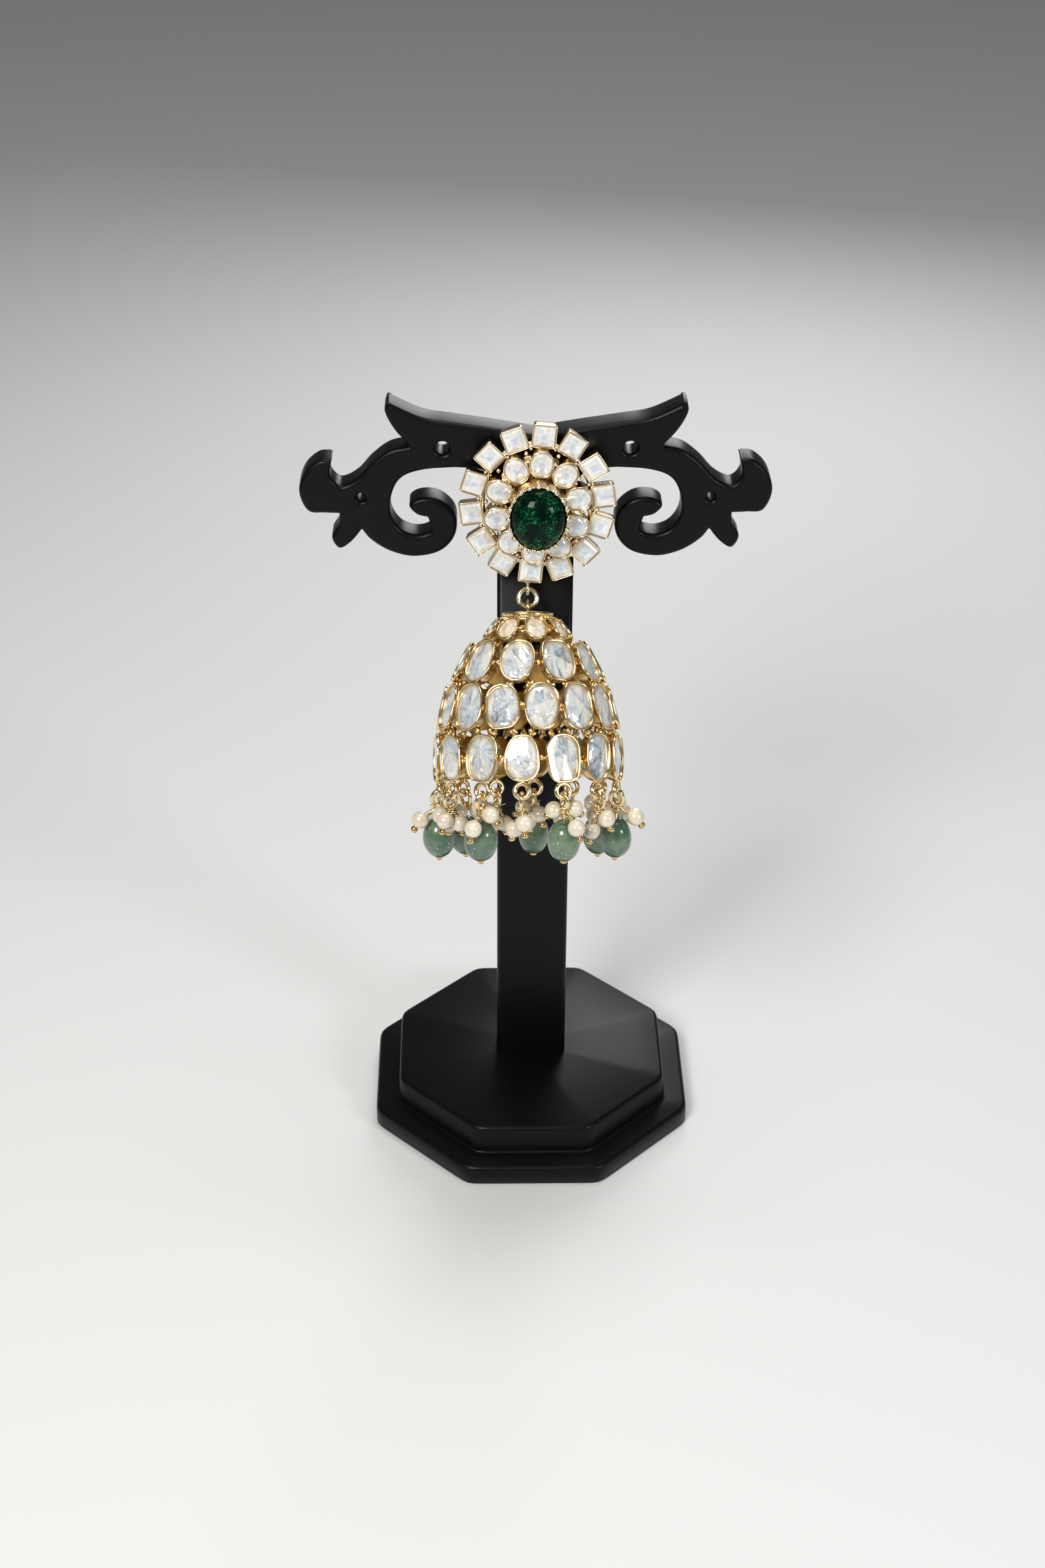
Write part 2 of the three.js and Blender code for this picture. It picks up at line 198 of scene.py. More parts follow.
def lathe(profile: Sequence[tuple[float, float]], around: int) -> Array:
    """A profile of radius and height turned about Z: (r cos t, r sin t, z)."""
    r, z = np.array(profile, float).T
    t = angles(around)
    return np.stack(
        [r[:, None] * np.cos(t), r[:, None] * np.sin(t), np.broadcast_to(z[:, None], (len(z), around))],
        axis=-1,
    )


def ball(radius: float, at: Sequence[float], around: int = 8, rings: int = 6) -> Array:
    """A sphere's grid, from pole to pole, at a point."""
    slope = np.linspace(-math.pi / 2, math.pi / 2, rings)
    profile = list(zip(radius * np.cos(slope) * (np.abs(slope) < 1.57), radius * np.sin(slope)))
    return lathe(profile, around) + np.array(at, float)


def tube(
    path: Array, radius: Union[float, Array], sides: int, over: Sequence[float], looped: bool
) -> Array:
    """A round wire along a path: centre + radius (cos a side + sin a top).

    Side is the path's direction crossed with `over`, and top is side crossed with the direction.

    Args:
        path: points of shape (n, 3).
        radius: one radius, or one for each point.
        sides: points round the wire.
        over: a direction that the path never runs along.
        looped: whether the path closes on itself; if not, its ends are capped.

    Returns:
        A grid of shape (n or n + 2, sides, 3).
    """
    if looped:
        run = np.roll(path, -1, axis=0) - np.roll(path, 1, axis=0)
    else:
        run = np.gradient(path, axis=0)
    radii = np.broadcast_to(np.asarray(radius, float), (len(path),))
    if not looped:
        path = np.concatenate([path[:1], path, path[-1:]])
        run = np.concatenate([run[:1], run, run[-1:]])
        radii = np.concatenate([[0.0], radii, [0.0]])
    run = run / np.linalg.norm(run, axis=1, keepdims=True)
    side = np.cross(run, np.array(over, float))
    side = side / np.linalg.norm(side, axis=1, keepdims=True)
    top = np.cross(side, run)
    a = angles(sides)[None, :, None]
    return path[:, None] + radii[:, None, None] * (np.cos(a) * side[:, None] + np.sin(a) * top[:, None])


def ring_path(wide: float, tall: float, count: int) -> Array:
    """An oval in the XZ plane: (wide sin t, 0, tall cos t)."""
    t = angles(count)
    return np.stack([wide * np.sin(t), np.zeros(count), tall * np.cos(t)], axis=1)


def edge_on(wide: float, tall: float, count: int) -> Array:
    """The same oval turned into the YZ plane, so that its edge faces the front."""
    return put(ring_path(wide, tall, count), turn("Z", 90))


def oval_levels(share: Array, height: Array, wide: float, tall: float) -> Array:
    """Ovals that face -Y, one over the other: (share wide sin t, -height, share tall cos t).

    Args:
        share: scale of each level, of shape (levels, 1), or of each point.
        height: height of each point, of shape (levels, around).
        wide: half the width.
        tall: half the height.

    Returns:
        A grid of shape (levels, around, 3).
    """
    t = angles(height.shape[1])
    return np.stack([share * wide * np.sin(t), -height, share * tall * np.cos(t)], axis=-1)


def level(heights: Array, around: int) -> Array:
    """One height for every point of each level."""
    return np.broadcast_to(heights[:, None], (len(heights), around))


def straight(start: Array, end: Array, count: int = 2) -> Array:
    """Evenly spaced points from start to end."""
    return start + np.linspace(0, 1, count)[:, None] * (end - start)


def across_of(direction: Array) -> Array:
    """A unit direction at right angles to another."""
    steep = abs(direction[2]) >= 0.8 * np.linalg.norm(direction)
    side = np.cross(direction, RIGHT if steep else UP)
    return side / np.linalg.norm(side)


def rod(start: Array, end: Array, radius: float, sides: int = 8) -> Array:
    """A straight round bar between two points."""
    return tube(straight(start, end), radius, sides, across_of(end - start), False)


class Pile:
    """Closed surfaces gathered into one mesh.

    Each point carries four facts: its place u, v on its own stone, from -1 to 1, a number
    that differs from stone to stone, and how deep it is in the hollows, from 0 to 1, which sets painted shade
    on the gold.
    """

    def __init__(self) -> None:
        """Starts an empty pile."""
        self.points: list[Array] = []
        self.faces: list[Array] = []
        self.facts: list[Array] = []
        self.smooth: list[Array] = []
        self.count = 0

    def _keep(self, points: Array, faces: Array, facts: Union[Array, Sequence[float]], smooth: bool) -> None:
        """Adds points with their faces and facts, and counts them."""
        self.points.append(points.reshape(-1, 3))
        self.faces.append(faces)
        self.facts.append(np.broadcast_to(np.asarray(facts, float), (*points.shape[:-1], 4)).reshape(-1, 4))
        self.smooth.append(np.full(len(faces), smooth))
        self.count += points.size // 3

    def grid(
        self,
        points: Array,
        looped: bool = False,
        facts: Union[Array, Sequence[float]] = (0, 0, 0, 0),
        smooth: bool = True,
    ) -> None:
        """Adds a grid whose rows close on themselves.

        Args:
            points: shape (rows, columns, 3).
            looped: whether the last row joins the first.
            facts: four numbers, or an array of them that fits the grid.
            smooth: whether the faces are shaded smooth.
        """
        rows, columns = points.shape[:2]
        index = np.arange(rows * columns).reshape(rows, columns) + self.count
        above = index if looped else index[:-1]
        below = np.roll(index, -1, axis=0) if looped else index[1:]
        quads = np.stack([above, np.roll(above, -1, 1), np.roll(below, -1, 1), below], axis=-1)
        self._keep(points, quads.reshape(-1, 4), facts, smooth)

    def bead(
        self, radius: float, at: Sequence[float], matrix: Array, around: int = 8, rings: int = 6
    ) -> None:
        """Adds a plain ball at a point of a frame."""
        self.grid(put(ball(radius, at, around, rings), matrix))

    def sheet(self, loops: Sequence[Array], smooth: bool = False) -> None:
        """Adds a flat sheet inside the first loop and outside the others."""
        triangles = np.array(tessellate_polygon([[Vector(p) for p in loop] for loop in loops]))
        self._keep(np.concatenate(loops), triangles + self.count, (0, 0, 0, 0), smooth)

    def object(self, name: str) -> bpy.types.Object:
        """Makes the mesh, closes its seams and poles and turns its faces outward.

        Args:
            name: the piece's name.

        Returns:
            The new object, at the origin.
        """
        mesh = bpy.data.meshes.new(name)
        faces = [face for block in self.faces for face in block.tolist()]
        mesh.from_pydata((np.concatenate(self.points) * MM).tolist(), [], faces)
        mesh.polygons.foreach_set("use_smooth", np.concatenate(self.smooth))
        facts = np.concatenate(self.facts).astype(np.float32)
        place = mesh.attributes.new("stone_place", "FLOAT_VECTOR", "POINT")
        place.data.foreach_set("vector", facts[:, :3].ravel())
        # recess: how much painted shade the gold takes, deepest in hollows and behind other parts.
        mesh.attributes.new("recess", "FLOAT", "POINT").data.foreach_set("value", facts[:, 3].copy())
        work = bmesh.new()
        work.from_mesh(mesh)
        bmesh.ops.remove_doubles(work, verts=work.verts, dist=1e-7)
        bmesh.ops.recalc_face_normals(work, faces=work.faces)
        work.to_mesh(mesh)
        work.free()
        made = bpy.data.objects.new(name, mesh)
        bpy.context.scene.collection.objects.link(made)
        return made


# ------------------------------------------------------------------ shader sheets


class Wire:
    """An output socket that can be added, taken away and multiplied like a number."""

    def __init__(self, sheet: "Sheet", socket: bpy.types.NodeSocket) -> None:
        """Keeps the socket and the sheet that it is on."""
        self.sheet = sheet
        self.socket = socket

    def maths(self, operation: str, *others: Union["Wire", float]) -> "Wire":
        """One Math node whose first input is this wire."""
        values = dict(enumerate((self, *others)))
        return self.sheet.node("ShaderNodeMath", {"operation": operation}, values)

    def __add__(self, other: Union["Wire", float]) -> "Wire":
        """This wire plus another, or plus a number."""
        return self.maths("ADD", other)

    __radd__ = __add__

    def __mul__(self, other: Union["Wire", float]) -> "Wire":
        """This wire times another, or times a number."""
        return self.maths("MULTIPLY", other)

    __rmul__ = __mul__

    def __sub__(self, other: Union["Wire", float]) -> "Wire":
        """This wire less another, or less a number."""
        return self.maths("SUBTRACT", other)

    def __rsub__(self, other: float) -> "Wire":
        """A number less this wire."""
        return self.sheet.node("ShaderNodeMath", {"operation": "SUBTRACT"}, {0: other, 1: self})

    def between(self, low: float, high: float) -> "Wire":
        """0 at `low` and below, 1 at `high` and above, and smooth in between."""
        inputs = {"Value": self, "From Min": low, "From Max": high}
        return self.sheet.node("ShaderNodeMapRange", {"interpolation_type": "SMOOTHSTEP"}, inputs)


Value = Union[Wire, float, Sequence[float]]


class Sheet:
    """The node sheet of one material."""

    def __init__(self, name: str) -> None:
        """Makes an empty material."""
        self.material = bpy.data.materials.new(name)
        self.material.use_nodes = True
        self.tree = self.material.node_tree
        self.tree.nodes.clear()

    def node(self, kind: str, settings: dict, inputs: dict, output: Union[int, str] = 0) -> Wire:
        """Adds one node.

        Args:
            kind: the node's type.
            settings: its own settings, set first; "stops" fills a colour ramp.
            inputs: values or wires by socket.
            output: which output to hand back.

        Returns:
            The output as a wire.
        """
        made = self.tree.nodes.new(kind)
        for key, value in settings.items():
            if key == "stops":
                while len(made.color_ramp.elements) < len(value):
                    made.color_ramp.elements.new(1.0)
                for element, (position, colour) in zip(made.color_ramp.elements, value):
                    element.position, element.color = position, colour
            else:
                setattr(made, key, value)
        for key, value in inputs.items():
            if isinstance(value, Wire):
                self.tree.links.new(value.socket, made.inputs[key])
            else:
                made.inputs[key].default_value = value
        return Wire(self, made.outputs[output])

    def place(self) -> Wire:
        """Object coordinates, in metres."""
        return self.node("ShaderNodeTexCoord", {}, {}, "Object")

    def fact(self, name: str, output: str = "Fac") -> Wire:
        """One of the mesh's own attributes."""
        settings = {"attribute_name": name, "attribute_type": "GEOMETRY"}
        return self.node("ShaderNodeAttribute", settings, {}, output)

    def axis(self, vector: Wire, name: str) -> Wire:
        """The X, Y or Z of a vector."""
        return self.node("ShaderNodeSeparateXYZ", {}, {0: vector}, name)

    def noise(self, where: Wire, scale: float, detail: float = 2.0, twist: float = 0.0) -> Wire:
        """Fractal noise from 0 to 1."""
        inputs = {"Vector": where, "Scale": scale, "Detail": detail, "Distortion": twist}
        return self.node("ShaderNodeTexNoise", {}, inputs, 0)

    def cells(
        self, where: Wire, scale: float, feature: str = "F1", output: Union[int, str] = "Distance"
    ) -> Wire:
        """Voronoi cells: distance to a centre or an edge, or a colour for each cell."""
        inputs = {"Vector": where, "Scale": scale}
        return self.node("ShaderNodeTexVoronoi", {"feature": feature}, inputs, output)

    def mix(self, share: Value, first: Value, second: Value, blend: str = "MIX") -> Wire:
        """Two colours mixed."""
        settings = {"data_type": "RGBA", "blend_type": blend}
        return self.node("ShaderNodeMix", settings, {0: share, 6: first, 7: second}, 2)

    def ramp(self, share: Wire, stops: Sequence[tuple[float, Colour]]) -> Wire:
        """A colour ramp."""
        return self.node("ShaderNodeValToRGB", {"stops": stops}, {0: share})

    def bump(self, height: Wire, distance: float, strength: float = 1.0) -> Wire:
        """A normal from a height; distance is in metres."""
        inputs = {"Height": height, "Distance": distance, "Strength": strength}
        return self.node("ShaderNodeBump", {}, inputs)

    def finish(self, inputs: dict) -> bpy.types.Material:
        """Ends the sheet with a Principled shader of these inputs."""
        surface = self.node("ShaderNodeBsdfPrincipled", {}, inputs)
        end = self.tree.nodes.new("ShaderNodeOutputMaterial")
        self.tree.links.new(surface.socket, end.inputs["Surface"])
        return self.material


def shade(red: float, green: float, blue: float) -> Colour:
    """A linear colour with full alpha."""
    return (red, green, blue, 1.0)


@dataclass(frozen=True)
class Finish:
    """What every finish has: a name, and a way to lay its nodes."""

    name: str

    def material(self) -> bpy.types.Material:
        """The finish as a material, made once."""
        return bpy.data.materials.get(self.name) or self.lay(Sheet(self.name))

    def lay(self, sheet: Sheet) -> bpy.types.Material:
        """Lays the nodes; each finish has its own."""
        raise NotImplementedError


@dataclass(frozen=True)
class BlackPlastic(Finish):
    """Satin moulded plastic: a fine orange peel, pale flecks of filler, and rubbed patches."""

    body: Colour = shade(0.0016, 0.002, 0.0028)
    fleck: Colour = shade(0.05, 0.053, 0.06)

    def lay(self, sheet: Sheet) -> bpy.types.Material:
        """Lays body colour, flecks, gloss patches and peel."""
        place = sheet.place()
        specks = 1 - sheet.cells(place, 2600.0).between(0.05, 0.16)
        sparse = sheet.noise(place, 900.0, 1.0).between(0.5, 0.62)
        patches = sheet.noise(place, 60.0, 3.0)
        peel = sheet.noise(place, 3200.0, 2.0)
        colour = sheet.mix(specks * sparse * 0.8, self.body, self.fleck)
        return sheet.finish({
            "Base Color": colour,
            "Roughness": 0.26 + patches * 0.14 + peel * 0.06,
            "Normal": sheet.bump(peel, 0.00002, 0.5),
            "Specular IOR Level": 0.17,
        })


@dataclass(frozen=True)
class GoldPlate(Finish):
    """Polished plating over cast metal, with a cast grain, and painted shade in the recesses that makes them
    deeper and redder.
    """

    bright: Colour = shade(0.93, 0.75, 0.47)
    # Painted shade, darker and redder, for the hollows.
    deep: Colour = shade(0.56, 0.29, 0.075)
    warm: Colour = shade(0.93, 0.64, 0.32)
    grain: float = 1500.0
    relief: float = 0.00003
    gloss: float = 0.1

    def lay(self, sheet: Sheet) -> bpy.types.Material:
        """Lays tone with painted recess shade, gloss and cast grain."""
        place = sheet.place()
        recess = sheet.fact("recess")
        blotch = sheet.noise(place, 420.0, 3.0)
        grain = sheet.noise(place, self.grain, 4.0, 0.4)
        tone = sheet.mix(blotch.between(0.35, 0.7), self.bright, self.warm)
        # Painted shade: the deep colour fills the hollows by the recess fact.
        tone = sheet.mix(recess, tone, self.deep)
        return sheet.finish({
            "Base Color": tone,
            "Metallic": 1.0,
            "Roughness": self.gloss + grain * 0.14 + recess * 0.1,
            "Normal": sheet.bump(grain, self.relief, 0.8),
        })


@dataclass(frozen=True)
class ClearStone(Finish):
    """A clear stone over bright foil: the light inside follows the cut."""

    cut: Cut = Cut.UNCUT
    light: Colour = shade(0.96, 0.945, 0.87)
    cool: Colour = shade(0.87, 0.93, 0.98)
    shadow: Colour = shade(0.19, 0.22, 0.25)
    heart: Colour = shade(0.36, 0.43, 0.51)
    # Painted reflection of the warm gold bezel, round the stone's edge.
    edge: Colour = shade(0.62, 0.45, 0.24)
    mirror: float = 0.34

    def lay(self, sheet: Sheet) -> bpy.types.Material:
        """Lays rings for a cut stone, or streaks and cracks for an uncut one."""
        local = sheet.fact("stone_place", "Vector")
        u, v, seed = (sheet.axis(local, name) for name in "XYZ")
        if self.cut is Cut.SQUARE:
            reach = u.maths("ABSOLUTE").maths("MAXIMUM", v.maths("ABSOLUTE"))
        else:
            reach = (u * u + v * v).maths("SQRT")
        flat = sheet.node("ShaderNodeCombineXYZ", {}, {0: u, 1: v, 2: seed * 9.0})
        wobble = sheet.noise(flat, 2.6, 3.0)
        if self.cut is Cut.UNCUT:
            colour = self._streaks(sheet, u, v, seed, flat, wobble)
        else:
            rings = self._rings(sheet, reach + (wobble - 0.5) * 0.3, wobble)
            colour = sheet.mix(0.4, rings, self._streaks(sheet, u, v, seed, flat, wobble))
        # Painted reflection of the gold bezel round the stone's edge.
        rim = reach.between(0.84, 1.02) * 0.75
        return sheet.finish({
            "Base Color": sheet.mix(rim, colour, self.edge),
            "Metallic": self.mirror,
            "Roughness": 0.05 + wobble * 0.1,
            "Coat Weight": 1.0,
            "Coat Roughness": 0.02,
            "Normal": sheet.bump(wobble, 0.00006, 0.7),
        })

    def _rings(self, sheet: Sheet, reach: Wire, wobble: Wire) -> Wire:
        """Steps of light and shadow round a cool heart."""
        stops = [
            (0.0, self.heart), (0.22, shade(0.5, 0.57, 0.65)), (0.46, self.cool),
            (0.54, shade(0.56, 0.6, 0.63)), (0.6, self.light), (0.7, shade(0.62, 0.59, 0.5)),
            (0.78, self.light),
        ]
        rings = sheet.ramp(reach, stops)
        bright = sheet.mix(reach.between(0.2, 0.9), self.cool, self.light)
        return sheet.mix(wobble.between(0.46, 0.66) * 0.45, rings, bright)

    def _streaks(self, sheet: Sheet, u: Wire, v: Wire, seed: Wire, flat: Wire, wobble: Wire) -> Wire:
        """Painted rays of light from an off-centre heart, facets of light and shadow like cells, and thin
        cracks.
        """
        heart_u = u + (seed * 31.0).maths("SINE") * 0.45
        heart_v = v + (seed * 47.0).maths("SINE") * 0.45
        bearing = heart_v.maths("ARCTAN2", heart_u)
        inputs = {0: bearing.maths("SINE") * 1.6, 1: bearing.maths("COSINE") * 1.6, 2: seed * 5.0}
        rays = sheet.noise(sheet.node("ShaderNodeCombineXYZ", {}, inputs), 1.3, 4.0, 0.8)
        facets = sheet.cells(flat, 1.15, "F1", "Color")
        tone = sheet.node("ShaderNodeSeparateColor", {}, {0: facets}, 0)
        small = sheet.node("ShaderNodeSeparateColor", {}, {0: sheet.cells(flat, 3.1, "F1", "Color")}, 1)
        cracks = 1 - sheet.cells(flat, 1.9, "DISTANCE_TO_EDGE").between(0.0, 0.045)
        dim = rays.between(0.44, 0.66) * 0.45 + tone * 0.42 + small * 0.3 + cracks * 0.25 - 0.3
        dim = dim * (0.45 + 0.75 * wobble.between(0.3, 0.6))
        bright = sheet.mix(tone.between(0.35, 0.75), self.light, self.cool)
        return sheet.mix(dim.maths("MINIMUM", 1.0).maths("MAXIMUM", 0.0), bright, self.shadow)


@dataclass(frozen=True)
class DarkGreenStone(Finish):
    """A deep green cabochon with a garden of brighter flecks."""

    deep: Colour = shade(0.0006, 0.006, 0.0035)
    fleck: Colour = shade(0.008, 0.2, 0.065)

    def lay(self, sheet: Sheet) -> bpy.types.Material:
        """Lays depth, drifts and flecks under a hard gloss."""
        place = sheet.place()
        drift = sheet.noise(place, 420.0, 3.0).between(0.38, 0.58)
        specks = sheet.noise(place, 2300.0, 5.0, 0.8).between(0.52, 0.66)
        veil = sheet.mix(drift * 0.5, self.deep, shade(0.002, 0.022, 0.01))
        return sheet.finish({
            "Base Color": sheet.mix(specks * drift, veil, self.fleck),
            "Roughness": 0.05 + drift * 0.04,
            "Specular IOR Level": 0.1,
        })


@dataclass(frozen=True)
class PearlSkin(Finish):
    """Ivory nacre: each pearl a little pinker or yellower, with a soft deep gloss."""

    ivory: Colour = shade(0.72, 0.65, 0.47)
    rose: Colour = shade(0.73, 0.61, 0.46)
    milk: Colour = shade(0.8, 0.76, 0.63)

    def lay(self, sheet: Sheet) -> bpy.types.Material:
        """Lays tone for each pearl, cloud and skin."""
        place = sheet.place()
        seed = sheet.axis(sheet.fact("stone_place", "Vector"), "Z")
        cloud = sheet.noise(place, 700.0, 3.0)
        tone = sheet.mix(seed, self.ivory, self.rose)
        tone = sheet.mix(cloud.between(0.4, 0.7) * 0.7, tone, self.milk)
        return sheet.finish({
            "Base Color": tone,
            "Roughness": 0.24 + cloud * 0.08,
            "Specular IOR Level": 0.7,
            "Coat Weight": 1.0,
            "Coat Roughness": 0.13,
            "Coat IOR": 1.8,
            "Normal": sheet.bump(cloud, 0.00003, 0.4),
        })


@dataclass(frozen=True)
class GreenBeadStone(Finish):
    """Tumbled sage-green stone: cloudy, with dark grains and bright mica specks."""

    sage: Colour = shade(0.062, 0.132, 0.08)
    pale: Colour = shade(0.155, 0.225, 0.145)
    dark: Colour = shade(0.013, 0.05, 0.04)
    mica: Colour = shade(0.75, 0.85, 0.72)

    def lay(self, sheet: Sheet) -> bpy.types.Material:
        """Lays cloud, grains and specks."""
        place = sheet.place()
        cloud = sheet.noise(place, 240.0, 4.0, 0.5)
        grains = sheet.noise(place, 1700.0, 3.0).between(0.55, 0.72)
        specks = 1 - sheet.cells(place, 1500.0).between(0.1, 0.24)
        some = sheet.noise(place, 1200.0, 1.0).between(0.5, 0.6)
        tone = sheet.mix(cloud.between(0.36, 0.66), self.sage, self.pale)
        tone = sheet.mix(grains * 0.55, tone, self.dark)
        return sheet.finish({
            "Base Color": sheet.mix(specks * some, tone, self.mica),
            "Roughness": 0.2 + grains * 0.15,
            "Coat Weight": 0.5,
            "Coat Roughness": 0.12,
            "Subsurface Weight": 0.25,
            "Subsurface Scale": 0.002,
            "Normal": sheet.bump(cloud, 0.0001, 0.4),
        })


@dataclass(frozen=True)
class PaleFloor(Finish):
    """Plain pale paper."""

    paper: Colour = shade(0.78, 0.775, 0.765)

    def lay(self, sheet: Sheet) -> bpy.types.Material:
        """Lays a faint mottle."""
        mottle = sheet.noise(sheet.place(), 14.0, 3.0)
        return sheet.finish({
            "Base Color": sheet.mix(mottle * 0.3, self.paper, shade(0.74, 0.735, 0.73)),
            "Roughness": 0.85,
        })


BLACK = BlackPlastic("satin_black_plastic")
# The third colour of each gold is its painted shade for the hollows.
PALE = GoldPlate(
    "pale_gold_plate", shade(0.9, 0.8, 0.6), shade(0.5, 0.34, 0.14), shade(0.9, 0.7, 0.42)
)
WARM = GoldPlate(
    "warm_gold_plate", shade(0.94, 0.79, 0.5), shade(0.46, 0.28, 0.075), shade(0.92, 0.68, 0.32)
)
# A darker copy of the gold for the ball ends: painted shade for the dark surroundings that they mirror.
SHADED_GOLD = GoldPlate(
    "shaded_gold_plate", shade(0.8, 0.55, 0.26), shade(0.42, 0.22, 0.06), shade(0.72, 0.45, 0.17),
    gloss=0.06,
)
SQUARE_STONE = ClearStone("square_clear_stone", Cut.SQUARE, mirror=0.2)
OVAL_STONE = ClearStone("oval_clear_stone", Cut.ROUND, mirror=0.25)
UNCUT_STONE = ClearStone("uncut_clear_stone", Cut.UNCUT)
# The peach stones' edge colour is a stronger painted reflection of the bezel.
PEACH_STONE = ClearStone(
    "peach_clear_stone", Cut.UNCUT, light=shade(0.98, 0.86, 0.66), cool=shade(0.98, 0.93, 0.84),
    shadow=shade(0.55, 0.38, 0.2), edge=shade(0.75, 0.4, 0.13), mirror=0.1,
)
CENTRE = DarkGreenStone("dark_green_centre")
NACRE = PearlSkin("ivory_pearl")
SAGE = GreenBeadStone("sage_green_bead")


@dataclass
class Piece:
    """One finished piece: its surfaces, its finish, and what it stands for."""

    name: str
    pile: Pile
    finish: Finish
    body: Body
    slot: Slot
    nodes: tuple[str, ...]

    def settle(self) -> bpy.types.Object:
        """Makes the object, dresses it and ties it to its body.

        Returns:
            The object.
        """
        made = self.pile.object(self.name)
        made.data.materials.append(self.finish.material())
        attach(made, self.body.value)
        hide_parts(*self.nodes)
        LOG.info("%s: %d faces on %s", self.name, len(made.data.polygons), self.body.value)
        return made


# ------------------------------------------------------------------ settings and stones


@dataclass(frozen=True)
class StoneCut:
    """A stone's top as the lowest of many planes: a table and rings of slanted facets."""

    sides: int
    table: float
    slopes: tuple[tuple[float, float], ...]
    uneven: float = 0.0
    phase: float = 0.0

    def planes(self, dice: np.random.Generator) -> Array:
        """Rows of heading x, heading z, slope and height at the centre.

        Args:
            dice: seeded numbers that make the facets uneven.

        Returns:
            An array of shape (facets, 4).
        """
        rows = []
        for slope, top in self.slopes:
            a = self.phase + angles(self.sides) + dice.uniform(-1, 1, self.sides) * self.uneven
            steep = slope * (1 + 0.9 * self.uneven * dice.uniform(-1, 1, self.sides))
            rise = top * (1 + 0.5 * self.uneven * dice.uniform(-1, 1, self.sides))
            rows.append(np.stack([np.cos(a), np.sin(a), steep, rise], axis=1))
        lean = 0.12 * self.uneven * dice.uniform(-1, 1)
        rows.append(np.array([[1.0, 0.0, lean, self.table]]))
        return np.concatenate(rows)

    def grid(
        self, outline: Outline, seat: float, dice: np.random.Generator, rings: int, around: int
    ) -> tuple[Array, Array]:
        """The stone's closed surface and its facts.

        Height over a point at (u, v) of the stone, from -1 to 1, is the least over all planes
        of height - slope (u x + v z).

        Args:
            outline: the stone's edge.
            seat: height of its edge.
            dice: seeded numbers.
            rings: levels from the centre to the edge.
            around: points round the edge.

        Returns:
            The grid, and its facts for Pile.grid.
        """
        edge = outline.ring(around)
        reach = np.linspace(0, 1, rings)
        flat = reach[:, None, None] * edge[None]
        u, v = flat[..., 0] / (outline.across / 2), flat[..., 1] / (outline.along / 2)
        planes = self.planes(dice)
        drop = planes[:, 2] * (u[..., None] * planes[:, 0] + v[..., None] * planes[:, 1])
        height = seat + np.maximum((planes[:, 3] - drop).min(axis=-1), 0.0)
        top = np.stack([flat[..., 0], -height, flat[..., 1]], axis=-1)
        foot = loft(outline, [(0.97, 0, seat - 0.25), (0.0, 0, seat - 0.25)], around)
        points = np.concatenate([top, foot])
        facts = np.zeros((*points.shape[:2], 4))
        facts[:rings, :, 0], facts[:rings, :, 1] = u, v
        facts[rings, :, :2] = np.stack([u[-1], v[-1]], axis=-1)
        facts[..., 2] = dice.uniform(0, 1)
        return points, facts


SQUARE_CUT = StoneCut(4, 0.6, ((0.5, 0.78), (1.9, 1.92)), 0.0)
OVAL_CUT = StoneCut(9, 0.7, ((0.6, 0.86), (1.7, 1.74)), 0.12)
UNCUT_CUT = StoneCut(7, 0.5, ((0.55, 0.66), (1.7, 1.6)), 0.5)


def cup_facts(section: Sequence[tuple[float, float, float, float]], around: int) -> Array:
    """Facts for a cup: the fourth number of each row of its section is the painted shade of the hollows."""
    facts = np.zeros((len(section), around, 4))
    facts[..., 3] = np.array(section)[:, 3][:, None]
    return facts


def add_cup(
    pile: Pile,
    outline: Outline,
    depth: float,
    lip: float,
    matrix: Array,
    around: int = 40,
    taper: float = 0.86,
) -> None:
    """Adds a bezel: a closed cup that holds one stone, with a thin rounded lip.

    Args:
        pile: where it goes.
        outline: the stone's edge, just inside the lip.
        depth: height of the cup from its back to its lip.
        lip: thickness of the wall at the lip.
        matrix: where the lip's plane is; -Y faces out.
        around: points round the edge.
        taper: the back's share of the front's size.
    """
    # The fourth number of each row is painted shade: full at the back, none at the lip.
    section = [
        (0.0, 0.0, -0.75, 1.0),
        (1.0, 0.0, -0.75, 1.0),
        (1.0, 0.03, -0.25, 0.65),
        (1.0, 0.06, -0.06, 0.2),
        (1.0, 0.06 + 0.25 * lip, 0.03, 0.0),
        (1.0, 0.06 + 0.6 * lip, 0.05, 0.0),
        (1.0, 0.06 + 0.9 * lip, 0.0, 0.0),
        (1.0, 0.06 + lip, -0.12, 0.0),
        (1.0, 0.04 + lip, -0.45, 0.15),
        (0.5 + 0.5 * taper, lip, -0.7 * depth, 0.7),
        (taper, lip, -0.95 * depth, 0.9),
        (0.94 * taper, lip, -depth, 1.0),
        (0.0, 0.0, -depth, 1.0),
    ]
    shape = loft(outline, [row[:3] for row in section], around)
    pile.grid(put(shape, matrix), facts=cup_facts(section, around))


# ------------------------------------------------------------------ the stand


